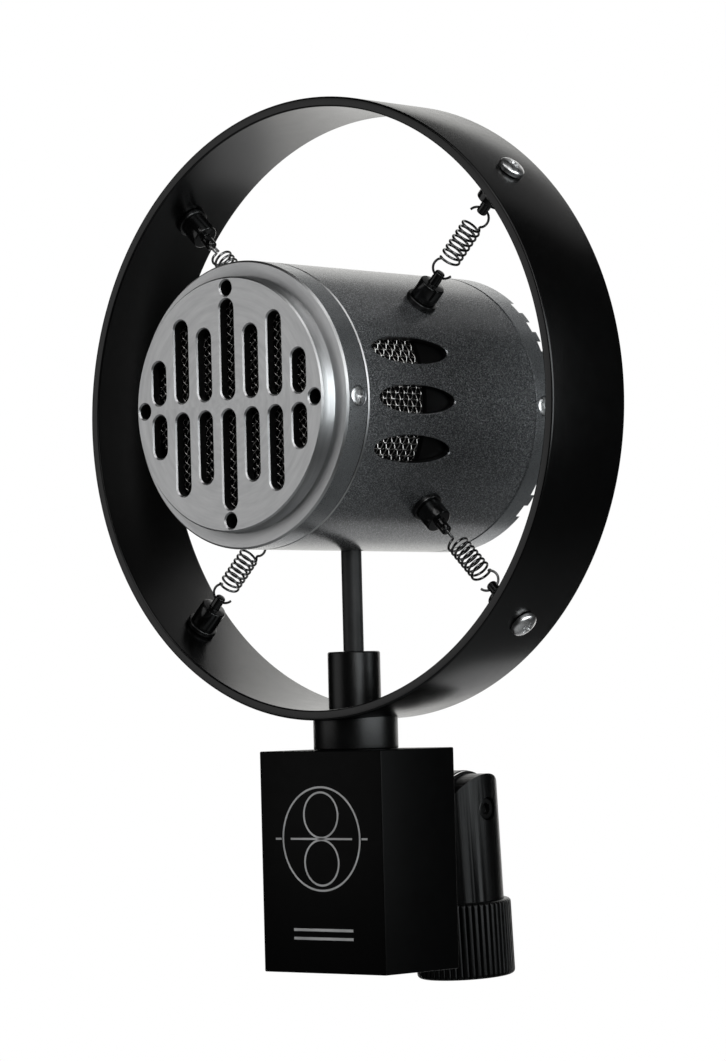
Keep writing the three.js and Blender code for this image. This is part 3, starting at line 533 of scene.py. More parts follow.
BLACK_BLOCK = painted("block_paint", 0.0012, 0.42, 0.18, 0.004, 0.08)
BLACK_NECK = painted("neck_paint", 0.003, 0.3, 0.3, 0.035, 0.42)
BLACK_POST = painted("post_paint", 0.0015, 0.3, 0.22, 0.04, 0.2)
BLACK_RING = painted("ring_paint", 0.0012, 0.24, 0.3, 0.002, 0.45)
BLACK_STUD = painted("stud_anodising", 0.004, 0.16, 0.2, 0.002, 0.5)
BLACK_SCREW = painted("black_oxide", 0.012, 0.3, 0.15, 0.004, 0.5, 0.6)
# Near-black paint on the insides, the inner sleeve and the slot walls: painted shade where the light does not
# reach.
INSIDE_SHADE_PAINT = painted("inner_shade_paint", 0.004, 0.3, 0.3, 0.004, 0.4)
SOCKET_BLACK = painted("socket_moulding", 0.01, 0.45, 0.2, 0.006)
# A near-black sheet behind the wire cloth: painted shade that stands in for the dark inside of the drum.
SHADE_LINING = painted("shade_lining", 0.004, 0.7, 0.12, 0.02, 0.1)
LEAD_LOOK = painted("lead_sleeve", 0.03, 0.5, 0.35, 0.03, 0.4)
INK = painted("silver_ink", 0.6, 0.45, 0.12, 0.002, 0.3, 0.1)
CHROME = metal("polished_steel", 0.75, 0.1)
SCREW_METAL = metal("screw_steel", 0.85, 0.3)
WASHER_METAL = metal("washer_steel", 0.07, 0.3)
SPRING_METAL = metal("spring_steel", 0.22, 0.18)
MESH_METAL = metal("mesh_wire", 0.5, 0.22, warm=0.03)
MAGNET_METAL = metal("magnet_steel", 0.28, 0.4)
GOLD = metal("gold_plate", 0.6, 0.2, warm=0.35)
FOIL = metal("ribbon_foil", 0.5, 0.3)
LAMINATION = metal("transformer_steel", 0.2, 0.45)
ALUMINIUM = turned_aluminium()
BARREL_PAINT = flake_paint("barrel_paint", 0.6, 0.12, 0.25, 0.13, 0.85)
CAP_PAINT = flake_paint("cap_paint", 0.85, 0.34, 0.3, 0.14, 0.12)

# ---- drum ----

FINE = 240


def hole_outline(angle, y, radius):
    """A round hole in the drum's side as an outline in (angle, height)."""
    return ellipse(math.radians(angle), y, radius / DRUM_RADIUS, radius, 32)


def add_countersink(shape, angle, y, look):
    """A countersunk screw hole in the drum's side, closed at its bottom."""
    neck = COUNTERSINK_RADIUS - 0.13
    levels = [(COUNTERSINK_RADIUS, DRUM_RADIUS), (neck, DRUM_RADIUS - 0.12), (neck, DRUM_RADIUS - 0.5)]
    levels += [(CAP_SCREW_BORE, DRUM_RADIUS - 2.0), (CAP_SCREW_BORE, DRUM_RADIUS - 3.6)]
    loops = [on_cylinder(hole_outline(angle, y, r), depth) for r, depth in levels]
    shape.loft(loops, look)
    shape.add(loops[-1], [tuple(range(len(loops[-1])))], look)


def front_cap():
    """Its looks are the turned front, the side band, and the inside and slot walls painted near black as
    shade.
    """
    shape = Shape()
    chamfer, edge = 0.36, 0.4
    middle = (len(SLOT_LENGTHS) - 1) / 2
    openings = []
    for index, length in enumerate(SLOT_LENGTHS):
        for row in (-1, 1):
            x, z = (index - middle) * SLOT_PITCH, row * (SLOT_ROW_GAP + length) / 2
            openings.append(
                [slot_outline(x, z, SLOT_WIDTH + 2 * grown, length + 2 * grown) for grown in (chamfer, 0)]
            )
    for quarter in range(4):
        x = FACE_HOLE_CIRCLE * math.cos(quarter * RIGHT_ANGLE)
        z = FACE_HOLE_CIRCLE * math.sin(quarter * RIGHT_ANGLE)
        openings.append([ellipse(x, z, r, r, 40) for r in (FACE_HOLE_RADIUS + chamfer, FACE_HOLE_RADIUS)])
    plate_back = FRONT_FACE_Y + FACE_PLATE
    add_plate(shape, circle(FACE_RADIUS - edge, FINE), [wide for wide, _ in openings], FRONT_FACE_Y)
    add_plate(shape, circle(FACE_RECESS, FINE), [narrow for _, narrow in openings], plate_back, 2)
    for wide, narrow in openings:
        levels = [(wide, FRONT_FACE_Y), (narrow, FRONT_FACE_Y + chamfer)]
        shape.loft([np.column_stack([o, np.full(len(o), h)]) for o, h in levels])
        # The slot walls take the inside look, painted near black as shade.
        levels = [(narrow, FRONT_FACE_Y + chamfer), (narrow, plate_back)]
        shape.loft([np.column_stack([o, np.full(len(o), h)]) for o, h in levels], 2)
    seam = FRONT_SEAM_Y - GAP / 2
    band = FRONT_FLANGE_Y + 0.5
    rim = [(FACE_RADIUS - edge, FRONT_FACE_Y), (FACE_RADIUS, FRONT_FACE_Y + edge)]
    rim += [(FACE_RADIUS, FRONT_FLANGE_Y - 0.5), (FACE_RADIUS + 0.15, FRONT_FLANGE_Y - 0.15)]
    rim += [(FACE_RADIUS + 0.5, FRONT_FLANGE_Y), (DRUM_RADIUS - 0.5, FRONT_FLANGE_Y), (DRUM_RADIUS, band)]
    shape.revolve(rim, FINE, 0, around=False)
    # The wrap's own seam is turned away from the two screws.
    sides = [hole_outline(angle, CAP_SCREW_Y["front"], COUNTERSINK_RADIUS) for angle in (-90, 90)]
    add_wrapped(shape, DRUM_RADIUS, band, seam - SEAM_EASE, FINE, 4, sides, 1, RIGHT_ANGLE)
    for angle in CAP_SCREW_ANGLES.values():
        add_countersink(shape, angle, CAP_SCREW_Y["front"], 1)
    rest = [(DRUM_RADIUS, seam - SEAM_EASE), (DRUM_RADIUS - SEAM_EASE, seam), (SPIGOT_RADIUS, seam)]
    rest += [(SPIGOT_RADIUS, seam + SPIGOT_LENGTH), (CAP_BORE, seam + SPIGOT_LENGTH)]
    rest += [(CAP_BORE, FRONT_FLANGE_Y + 2), (FACE_RECESS, FRONT_FLANGE_Y + 2), (FACE_RECESS, plate_back)]
    shape.revolve(rest[:2], FINE, 0, around=False)
    shape.revolve(rest[1:], FINE, 2, around=False)
    return raw_mesh(shape)


def vent_outline(angle, grown=0.0):
    """A vent as an outline in (angle, height): a long ellipse drawn out a little at its tips."""
    steps = 72
    turn = np.arange(steps) * TURN / steps
    along = (VENT_LENGTH / 2 + grown) * np.cos(turn)
    across = (VENT_WIDTH / 2 + grown) * np.sin(turn)
    return np.column_stack([math.radians(angle) + across / DRUM_RADIUS, VENT_CENTRE_Y + along])


def barrel():
    """Its looks are the painted outside, the inside painted near black as shade, and the bright ends."""
    shape = Shape()
    start, end = FRONT_SEAM_Y + GAP / 2, BACK_SEAM_Y - GAP / 2
    chamfer = 0.28
    # The left side's vents stand at ±180, so the seam of the wrap is turned away from them.
    angles = [side + angle + 90 for side in (0, -180) for angle in VENT_ANGLES]
    lead_hole = hole_outline(0, 0, LEAD_HOLE_RADIUS)
    wide = [vent_outline(angle, chamfer) for angle in angles] + [lead_hole]
    narrow = [vent_outline(angle) for angle in angles] + [lead_hole]
    add_wrapped(shape, DRUM_RADIUS, start + SEAM_EASE, end - SEAM_EASE, FINE, 20, wide)
    add_wrapped(shape, BARREL_INNER, start, end, FINE, 12, narrow, 1)
    for outer, inner in zip(wide, narrow):
        loops = [on_cylinder(outer, DRUM_RADIUS), on_cylinder(inner, DRUM_RADIUS - chamfer)]
        shape.loft(loops)
        shape.loft([loops[1], on_cylinder(inner, BARREL_INNER)], 1)
    for edge, step in ((start, SEAM_EASE), (end, -SEAM_EASE)):
        rim = [(BARREL_INNER, edge), (DRUM_RADIUS - SEAM_EASE, edge), (DRUM_RADIUS, edge + step)]
        shape.revolve(rim[:2], FINE, 1, around=False)
        shape.revolve(rim[1:], FINE, 2, around=False)
    return raw_mesh(shape)


def back_cap():
    seam = BACK_SEAM_Y + GAP / 2
    floor = BACK_FACE_Y - GROOVE_DEPTH
    edge = 0.4
    profile = [(0, BACK_FACE_Y), (DRUM_RADIUS - edge, BACK_FACE_Y), (DRUM_RADIUS, BACK_FACE_Y - edge)]
    profile += [(DRUM_RADIUS, seam + SEAM_EASE), (DRUM_RADIUS - SEAM_EASE, seam), (SPIGOT_RADIUS, seam)]
    profile += [(SPIGOT_RADIUS, seam - SPIGOT_LENGTH), (CAP_BORE, seam - SPIGOT_LENGTH)]
    # The recess reaches past the grooves' floors, so that they open on the cloth behind them.
    profile += [(CAP_BORE, floor - 1.5), (BACK_RECESS, floor - 1.5)]
    profile += [(BACK_RECESS, floor + 0.4), (0, floor + 0.4)]
    tools = []
    for index in range(GROOVE_COUNT):
        z = (index - (GROOVE_COUNT - 1) / 2) * GROOVE_PITCH
        across = (z - GROOVE_WIDTH / 2, z + GROOVE_WIDTH / 2)
        tools.append(box_mesh((-40, 40), across, (floor, BACK_FACE_Y + 1)))
    for angle in CAP_SCREW_ANGLES.values():
        cone = [(0, 31), (CAP_SCREW_BORE, 31), (CAP_SCREW_BORE, DRUM_RADIUS - 2)]
        cone += [(COUNTERSINK_RADIUS, DRUM_RADIUS - 0.5), (COUNTERSINK_RADIUS, 38), (0, 38)]
        turn = Matrix.Rotation(math.radians(angle), 4, "Z") @ HEIGHT_ALONG_X
        tools.append(turned(cone, 32, moved(0, 0, CAP_SCREW_Y["back"]) @ turn))
    return combined(turned(profile, FINE), tools)


def woven_disc(radius, turn):
    """Plain woven wire cloth cut to a disc, its wires turned from the level."""
    shape = Shape()
    rise = MESH_WIRE + 0.01
    reach = int(radius / MESH_PITCH)
    cos, sin = math.cos(turn), math.sin(turn)
    for family in (0, 1):
        for line in range(-reach, reach + 1):
            across = line * MESH_PITCH
            half = math.sqrt(max(radius**2 - across**2, 0))
            if half < MESH_PITCH:
                continue
            along = np.linspace(-half, half, max(8, int(2 * half / MESH_PITCH * 5)))
            lift = rise * np.cos(math.pi * (along / MESH_PITCH + line + family))
            level = np.full_like(along, across)
            u, v = (level, along) if family else (along, level)
            path = np.column_stack([u * cos - v * sin, u * sin + v * cos, lift])
            shape.sweep(path, MESH_WIRE, 6, reference=(0, 0, 1))
    # Behind the wires, a dark lining disc painted as shade for the inside of the drum.
    back = LINING_GAP + LINING_THICKNESS
    shape.revolve([(0, LINING_GAP), (radius, LINING_GAP), (radius, back), (0, back)], 96, 1, around=False)
    return raw_mesh(shape)


def woven_sleeve(start, end):
    """The same cloth rolled into a sleeve inside the barrel."""
    shape = Shape()
    rise = MESH_WIRE + 0.01
    count = 2 * round(math.pi * LINER_MIDDLE / MESH_PITCH)
    rows = int((end - start - 0.6) / MESH_PITCH)
    first = (start + end - (rows - 1) * MESH_PITCH) / 2
    for line in range(count):
        steps = np.linspace(-0.35, rows - 0.65, rows * 5)
        radius = LINER_MIDDLE + rise * np.cos(math.pi * (steps + line))
        points = np.column_stack([np.full_like(steps, TURN * line / count), first + steps * MESH_PITCH])
        angle = TURN * line / count
        outward = (math.cos(angle), math.sin(angle), 0)
        shape.sweep(on_cylinder(points, radius), MESH_WIRE, 6, reference=outward)
    steps = np.arange(count * 5) / 5
    for row in range(rows):
        radius = LINER_MIDDLE - rise * np.cos(math.pi * (steps + row))
        points = np.column_stack([steps * TURN / count, np.full_like(steps, first + row * MESH_PITCH)])
        shape.sweep(on_cylinder(points, radius), MESH_WIRE, 6, closed=True, reference=(0, 0, 1))
    # Inside the wires, a dark lining tube painted as shade for the inside of the drum.
    outer, inner = LINER_MIDDLE - LINING_GAP, LINER_MIDDLE - LINING_GAP - LINING_THICKNESS
    shape.revolve([(outer, start), (outer, end), (inner, end), (inner, start)], 120, 1)
    return raw_mesh(shape)


def crossed(body, arm, thick, floor, top):
    """Cuts a cross recess, narrower at its bottom, into a screw head."""
    tools = []
    for across in (False, True):
        levels = []
        for half, wide, z in ((arm * 0.55, thick * 0.7, floor), (arm, thick, top), (arm, thick, top + 1)):
            corners = [(-half, -wide), (half, -wide), (half, wide), (-half, wide)]
            levels.append([((y, x, z) if across else (x, y, z)) for x, y in corners])
        tools.append(raw_mesh(Shape().loft(levels, ends=True)))
    return combined(body, tools, bevel=0.05, steps=1, angle=50)


def cap_screw():
    top = DRUM_RADIUS - 0.2
    profile = [(0, DRUM_RADIUS - 3.4), (1.1, DRUM_RADIUS - 3.4), (1.1, DRUM_RADIUS - 1.75)]
    profile += [(2.4, top - 0.25), (2.4, top - 0.08), (2.2, top + 0.02), (1.2, top + 0.1), (0, top + 0.14)]
    return crossed(turned(profile, 48), 1.35, 0.3, top - 0.8, top)


def pan_screw(head, height, shank, length):
    brim = 0.42  # how much of the head's height is its straight side
    angles = np.linspace(0, RIGHT_ANGLE, 10)
    dome = [(head * math.cos(a), height * (brim + (1 - brim) * math.sin(a))) for a in angles]
    profile = [(0, -length), (shank, -length), (shank, 0), (head * 0.97, 0), (head, height * 0.1), *dome]
    return crossed(turned(profile, 48), head * 0.52, head * 0.13, height * 0.35, height)


def inner_sleeve():
    start, end = LINER_SPLIT_Y + GAP / 2, BACK_SEAM_Y - SPIGOT_LENGTH - GAP
    outer, inner = LINER_MIDDLE + 0.3, LINER_MIDDLE - 0.7
    shape = Shape()
    hole = hole_outline(0, 0, LEAD_HOLE_RADIUS)
    for radius in (outer, inner):
        add_wrapped(shape, radius, start, end, 120, 6, [hole])
    shape.loft([on_cylinder(hole, outer), on_cylinder(hole, inner)])
    for y in (start, end):
        shape.revolve([(outer, y), (inner, y)], 120, around=False)
    return raw_mesh(shape)


# In DRUM the angle runs from +X to +Z. The barrel and the sleeve are drawn with the lead's hole at angle
# 0, so they are turned to bring that hole to the bottom.
HOLE_DOWN = DRUM @ Matrix.Rotation(-RIGHT_ANGLE, 4, "Z")

place("front_cap_turned", front_cap(), [ALUMINIUM, CAP_PAINT, INSIDE_SHADE_PAINT], "capsule", "front_cap",
      DRUM)
place("barrel_vented", barrel(), [BARREL_PAINT, INSIDE_SHADE_PAINT, ALUMINIUM], "capsule", "barrel",
      HOLE_DOWN)
place("back_cap_grooved", back_cap(), [CAP_PAINT], "capsule", "back_cap", DRUM)
# The cloth's second look is the lining, painted dark as shade.
CLOTH = [MESH_METAL, SHADE_LINING]
front_mesh, back_mesh = (woven_disc(radius, math.pi / 4) for radius in (FRONT_MESH_RADIUS, BACK_MESH_RADIUS))
place("front_mesh_woven", front_mesh, CLOTH, "capsule", "front_mesh",
      DRUM @ moved(0, 0, FRONT_MESH_Y), sharp=80)
place("back_mesh_woven", back_mesh, CLOTH, "capsule", "back_mesh",
      DRUM @ moved(0, 0, BACK_MESH_Y) @ Matrix.Rotation(math.pi, 4, "X"), sharp=80)
side_mesh = woven_sleeve(FRONT_SEAM_Y + SPIGOT_LENGTH + GAP, LINER_SPLIT_Y - GAP / 2)
place("side_mesh_woven", side_mesh, CLOTH, "capsule", "side_mesh", DRUM, sharp=80)
# The inner sleeve is painted near black as shade inside the drum.
place("inner_sleeve_tube", inner_sleeve(), [INSIDE_SHADE_PAINT], "capsule", "inner_sleeve",
      HOLE_DOWN)
for side, angle in CAP_SCREW_ANGLES.items():
    for end, y in CAP_SCREW_Y.items():
        spin = Matrix.Rotation(math.radians(20 + 25 * y / abs(y) + angle / 4), 4, "Z")
        node = f"{end}_cap_screw_{side}"
        place(f"{node}_cross", cap_screw(), [SCREW_METAL], "capsule", node,
              spoke(angle) @ moved(0, y, 0) @ spin)

# ---- ring, neck and boss ----


def suspension_ring():
    half = RING_WIDTH / 2
    corners = [(RING_INNER, -half), (RING_OUTER, -half), (RING_OUTER, half), (RING_INNER, half)]
    return raw_mesh(Shape().revolve(eased(corners, 0.5, 4), 360))


def saddle(radius, bore, fixed_end, seat_radius, bevel):
    """A tube about Z from a level end to a seat on the ring, whose axis is along Y."""
    shape = Shape()
    segments = 96
    seat = -np.sqrt(seat_radius**2 - circle(radius, segments)[:, 0] ** 2)
    inner_seat = -np.sqrt(seat_radius**2 - circle(bore, segments)[:, 0] ** 2)
    inward = math.copysign(1, seat_radius - abs(fixed_end))
    outer_top, inner_top = circle(radius, segments), circle(bore, segments)
    outer_top[:, 2], inner_top[:, 2] = seat, inner_seat
    corner = [(radius - bevel * (1 - math.sin(a)), fixed_end - inward * bevel * (1 - math.cos(a)))
              for a in np.linspace(RIGHT_ANGLE, 0, 4)]
    rounded = [circle(r, segments, h) for r, h in corner]
    shape.loft([outer_top, *rounded, circle(bore, segments, fixed_end), inner_top], around=True)
    return raw_mesh(shape)


place("suspension_ring_band", suspension_ring(), [BLACK_RING], "mic_frame", "suspension_ring",
      DRUM)
neck = saddle(NECK_RADIUS, LEAD_HOLE_RADIUS, BLOCK_TOP_Z + 0.1, RING_OUTER + 0.1, 0.35)
place("neck_collar_saddled", neck, [BLACK_NECK], "mic_frame", "neck_collar", MIC)
boss = saddle(BOSS_RADIUS, LEAD_HOLE_RADIUS, BOSS_TOP_Z, RING_INNER - 0.1, 0.5)
place("ring_boss_saddled", boss, [BLACK_NECK], "mic_frame", "ring_boss", MIC)

# ---- studs, washers, screws and springs ----


def stud(base, shoulder, end, shank_end, eye, eye_turn):
    """A round stud whose thinner pin has a rounded tip and a cross hole for the spring's hook."""
    tip = 0.55 if end > base else -0.55
    profile = [(0, shank_end, 0), (SHANK_RADIUS, shank_end, 0), (SHANK_RADIUS, base, 0)]
    profile += [(STUD_RADIUS, base, 0.25), (STUD_RADIUS, shoulder, 0.4), (PIN_RADIUS, shoulder, 0.15)]
    profile += [(PIN_RADIUS, end, abs(tip)), (0, end, 0)]
    body = turned(eased(profile, 0, 3, closed=False), 64)
    turn = Matrix.Rotation(eye_turn, 4, "Z") @ Matrix.Rotation(-RIGHT_ANGLE, 4, "X")
    return combined(body, [rod_mesh(PIN_EYE_RADIUS, -3, 3, moved(0, 0, eye) @ turn, 24)])


def washer(bottom, top, radius=WASHER_RADIUS, bore=1.8, ease=0.3):
    corners = [(bore, bottom, 0), (radius, bottom, ease), (radius, top, ease), (bore, top, 0.1)]
    return raw_mesh(Shape().revolve(eased(corners, ease), 64))


def hook_points(eye, facing, turn, degrees):
    """Points on a hook's circle, centred on the spring's axis. Facing is 1 at the drum and -1 at the ring."""
    angles = np.radians(degrees)
    out = HOOK_RADIUS * np.sin(angles)
    heights = eye + facing * (HOOK_RADIUS - HOOK_SEAT - HOOK_RADIUS * np.cos(angles))
    return np.column_stack([-out * math.sin(turn), out * math.cos(turn), heights])


def smooth_path(points, steps):
    """A Catmull-Rom curve through the points."""
    points = np.asarray(points)
    padded = np.vstack([2 * points[0] - points[1], points, 2 * points[-1] - points[-2]])
    out = []
    for i in range(len(points) - 1):
        a, b, c, d = padded[i : i + 4]
        square, cube = 2 * a - 5 * b + 4 * c - d, 3 * b - a - 3 * c + d
        for t in np.arange(steps) / steps:
            out.append(0.5 * (2 * b + (c - a) * t + square * t**2 + cube * t**3))
    return np.vstack([out, points[-1:]])


def spring(drum_turn, ring_turn):
    """The wire: an open hook in the drum pin's eye, the coil, and an open hook in the ring pin's eye."""
    arc = np.linspace(HOOK_OPEN_END, HOOK_COIL_END, 13)
    start = RIGHT_ANGLE + drum_turn + HOOK_TO_COIL
    end = RIGHT_ANGLE + ring_turn - HOOK_TO_COIL
    sweep = COIL_WHOLE_TURNS * TURN + (end - start) % TURN
    share = np.linspace(0, 1, round(sweep / TURN * 12) + 1)
    angles, heights = start + share * sweep, COIL_START + share * (COIL_END - COIL_START)
    coil = np.column_stack([COIL_RADIUS * np.cos(angles), COIL_RADIUS * np.sin(angles), heights])
    drum_end = hook_points(DRUM_EYE, 1, drum_turn, arc)
    ring_end = hook_points(RING_EYE, -1, ring_turn, arc[::-1])
    return raw_mesh(Shape().sweep(smooth_path(np.vstack([drum_end, coil, ring_end]), 3), WIRE_RADIUS, 10))


for corner, angle in SPRING_ANGLES.items():
    out = spoke(angle)
    drum_turn, ring_turn = (math.radians(turn) for turn in HOOK_TURNS[corner])
    ends = [tuple((out @ Vector((0, 0, reach))) * MM) for reach in (COIL_END, COIL_START)]
    spin = moved(0, 0, RING_OUTER + 0.2) @ Matrix.Rotation(math.radians(angle * 1.7), 4, "Z")
    ring_stud = stud(RING_INNER - WASHER_DEPTH, RING_STUD_END, RING_PIN_END, RING_INNER + 0.9,
                     RING_EYE, ring_turn)
    drum_stud = stud(DRUM_RADIUS + WASHER_DEPTH, DRUM_STUD_END, DRUM_PIN_END, DRUM_RADIUS - 1.2,
                     DRUM_EYE, drum_turn)
    ring_screw = pan_screw(3.5, 2.2, 1.0, 1.1)
    ring_washer = washer(RING_INNER - WASHER_DEPTH, RING_INNER - 0.15)
    drum_washer = washer(DRUM_RADIUS + 0.1, DRUM_RADIUS + WASHER_DEPTH)
    for node, ending, mesh, look, body, slot, matrix in (
        ("ring_screw", "pan", ring_screw, SCREW_METAL, "mic_frame", "polished_steel", out @ spin),
        ("ring_washer", "round", ring_washer, WASHER_METAL, "mic_frame", "washer_steel", out),
        ("ring_stud", "turned", ring_stud, BLACK_STUD, "mic_frame", "satin_black", out),
        ("drum_washer", "round", drum_washer, WASHER_METAL, "capsule", "washer_steel", out),
        ("drum_stud", "turned", drum_stud, BLACK_STUD, "capsule", "satin_black", out),
    ):
        place(f"{node}_{corner}_{ending}", mesh, [look], body, f"{node}_{corner}", matrix)
    place(f"spring_{corner}_wire", spring(drum_turn, ring_turn), [SPRING_METAL], ("mic_frame", "capsule"),
          f"suspension_spring_{corner}", out, blend=ends, sharp=80)


def signal_lead():
    heights = np.linspace(BOSS_TOP_Z - 12, -31, 25)
    loops = [circle(LEAD_RADIUS, 48, h) for h in heights]
    return raw_mesh(Shape().loft(loops, ends=True))


lead_ends = [tuple((MIC @ Vector((0, 0, z))) * MM) for z in (BOSS_TOP_Z + 4, -DRUM_RADIUS - 2)]
place("signal_lead_sleeved", signal_lead(), [LEAD_LOOK], ("mic_frame", "capsule"), "signal_lead",
      MIC, blend=lead_ends)

# ---- block ----


def block_housing():
    half_x, half_y = BLOCK_WIDTH / 2, BLOCK_DEPTH / 2
    outer = box_mesh((-half_x, half_x), (-half_y, half_y), (BLOCK_BASE_Z, BLOCK_TOP_Z))
    eased_box = combined(outer, bevel=0.35, steps=3)
    in_x, in_y = half_x - BLOCK_WALL, half_y - BLOCK_WALL
    hollow = box_mesh((-in_x, in_x), (-in_y, in_y), (BLOCK_BASE_Z - 1, BLOCK_TOP_Z - BLOCK_WALL))
    lead = rod_mesh(LEAD_HOLE_RADIUS, BLOCK_TOP_Z - BLOCK_WALL - 1, BLOCK_TOP_Z + 1)
    return combined(eased_box, [hollow, lead])


def base_plate():
    in_x = BLOCK_WIDTH / 2 - BLOCK_WALL - GAP
    in_y = BLOCK_DEPTH / 2 - BLOCK_WALL - GAP
    plate = box_mesh((-in_x, in_x), (-in_y, in_y), (BLOCK_BASE_Z + 0.4, BASE_PLATE_TOP_Z))
    tools = [rod_mesh(SOCKET_RADIUS + 0.15, BLOCK_BASE_Z - 1, BASE_PLATE_TOP_Z + 1, segments=96)]
    for side in (-1, 1):
        at = moved(side * BASE_SCREW_X, 0, 0)
        tools.append(rod_mesh(1.3, BLOCK_BASE_Z - 1, BASE_PLATE_TOP_Z + 1, at))
        tools.append(rod_mesh(BASE_SCREW_HEAD_RADIUS + GAP, BLOCK_BASE_Z - 1, BASE_SCREW_SEAT_Z, at))
    return combined(plate, tools, bevel=0.12)


def output_socket():
    """A cup with a rounded lip, a key rib, and a floor that the three contacts pass through."""
    inner, back, lip = SOCKET_RADIUS - 1, SOCKET_DEPTH + 3, 0.3
    profile = [(0, SOCKET_DEPTH, 0), (inner, SOCKET_DEPTH, 0), (inner, 0, lip)]
    profile += [(SOCKET_RADIUS, 0, lip), (SOCKET_RADIUS, back, 0), (0, back, 0)]
    cup = turned(eased(profile, 0, 3, closed=False), 96)
    rib = box_mesh((-0.9, 0.9), (-SOCKET_RADIUS + 0.5, -SOCKET_RADIUS + 2.2), (1.2, SOCKET_DEPTH + 1))
    return combined(cup, [rib], "UNION")


def contact():
    """A round pin with a rounded tip."""
    radius, length = 1.2, 19
    profile = [(0, 0, 0), (radius, 0, 0.7), (radius, length, 0), (0, length, 0)]
    return turned(eased(profile, 0, 4, closed=False), 32)


def strip(shape, x0, x1, z0, z1, depth):
    """A thin bar in the face of the block."""
    corners = [(x0, z0), (x1, z0), (x1, z1), (x0, z1)]
    shape.loft([[(x, z, y) for x, z in corners] for y in (0, depth)], ends=True)


def band(shape, x, z, radius, width, depth):
    """A thin round line in the face of the block."""
    half = width / 2
    outline = [(radius - half, 0), (radius + half, 0), (radius + half, depth), (radius - half, depth)]
    loops = [circle(r, 96, h, (x, z)) for r, h in outline]
    shape.loft(loops, around=True)


def polar_mark():
    """A plain line mark: a graph circle with the two lobes of a figure-of-eight pickup pattern."""
    shape = Shape()
    line, depth, reach, tick = 0.5, 0.05, 13.2, 1
    band(shape, 0, 0, reach, line, depth)
    for side in (-1, 1):
        band(shape, 0, side * reach * 0.46, reach * 0.44, line, depth)
        middle = side * (reach + 1.6)
        strip(shape, middle - tick, middle + tick, -line / 2, line / 2, depth)
    strip(shape, -reach * 0.8, reach * 0.8, -line / 2, line / 2, depth)
    for height in (-23.6, -25.8):
        strip(shape, -10.2, 10.2, height, height + line * 1.4, depth)
    return raw_mesh(shape)


place("block_housing_shell", block_housing(), [BLACK_BLOCK], "mic_frame", "block_housing", MIC)
place("base_plate_drilled", base_plate(), [BLACK_BLOCK], "mic_frame", "base_plate", MIC)
mark_height = BLOCK_TOP_Z - 22.5
place("polar_mark_ink", polar_mark(), [INK], "mic_frame", None,
      MIC @ moved(0, -BLOCK_DEPTH / 2 - 0.04, mark_height) @ DEPTH_ALONG_Y)
for side, sign in (("right", 1), ("left", -1)):
    flip = moved(sign * BASE_SCREW_X, 0, BASE_SCREW_SEAT_Z - 0.1) @ Matrix.Rotation(math.pi, 4, "X")
    base_screw = pan_screw(BASE_SCREW_HEAD_RADIUS, 1.2, 1.0, 7.5)
    node = f"base_screw_{side}"
    place(f"{node}_pan", base_screw, [BLACK_SCREW], "mic_frame", node, MIC @ flip)
place("output_socket_cup", output_socket(), [SOCKET_BLACK], "mic_frame", "output_socket",
      MIC @ moved(0, 0, BLOCK_BASE_Z + 0.6))
for number, (x, y) in enumerate([(-CONTACT_CIRCLE, 0), (CONTACT_CIRCLE, 0), (0, CONTACT_CIRCLE)], 1):
    node = f"socket_contact_{number}"
    place(f"{node}_pin", contact(), [GOLD], "mic_frame", node,
          MIC @ moved(x, y, BLOCK_BASE_Z + 3))

# ---- bracket and stand adaptor ----


def pivot_bracket():
    """A plate on the back of the block, and a tongue with a round eye for the pivot bolt."""
    back = BLOCK_DEPTH / 2
    base = box_mesh((-10.2, 10.2), (back + 0.1, back + GAP + 3), (-10.5, 10.5))
    base = combined(base, bevel=0.5, steps=3)
    neck = box_mesh((-TONGUE_HALF, TONGUE_HALF), (back + 2, PIVOT_BEHIND_RING), (-6.2, 6.2))
    at_pivot = moved(0, PIVOT_BEHIND_RING, 0) @ HEIGHT_ALONG_X
    eye = rod_mesh(TONGUE_ROUND, -TONGUE_HALF, TONGUE_HALF, at_pivot, 128)
    body = combined(base, [neck, eye], "UNION")
    tools = [rod_mesh(PIVOT_BORE, -5, 5, at_pivot)]
    for side in (-1, 1):
        hole = moved(side * BRACKET_SCREW_X, back, 0) @ Matrix.Rotation(-RIGHT_ANGLE, 4, "X")
        tools.append(rod_mesh(1.7, -1, 5, hole))
    return combined(body, tools, bevel=0.25)


def swivel_post():
    """A round post with a domed fork at its top, a bore for the bolt and a recess for its head."""
    top = PIVOT_HEIGHT + POST_RADIUS
    post = rod_mesh(POST_RADIUS, COLLAR_HEIGHT + 0.1, top, segments=160)
    at_pivot = moved(0, 0, PIVOT_HEIGHT) @ HEIGHT_ALONG_X
    wide = (-13, 13)
    cheeks = rod_mesh(FORK_ROUND, *wide, moved(0, 0, -FORK_ROUND_DROP) @ at_pivot, 192)
    below = box_mesh(wide, wide, (COLLAR_HEIGHT - 1, PIVOT_HEIGHT - FORK_ROUND_DROP))
    domed = combined(post, [combined(cheeks, [below], "UNION")], "INTERSECT")
    spigot = rod_mesh(8.7, 13.4, COLLAR_HEIGHT + 0.5, segments=96)
    body = combined(domed, [spigot], "UNION")
    tools = [
        box_mesh((-SLOT_HALF, SLOT_HALF), wide, (PIVOT_HEIGHT - TONGUE_ROUND - 0.8, top + 1)),
        rod_mesh(PIVOT_BORE, -9.2, 12, at_pivot),
        rod_mesh(3.1, 7.6, 12, at_pivot, 64),
    ]
    return combined(body, tools, bevel=0.3, steps=3, angle=30)


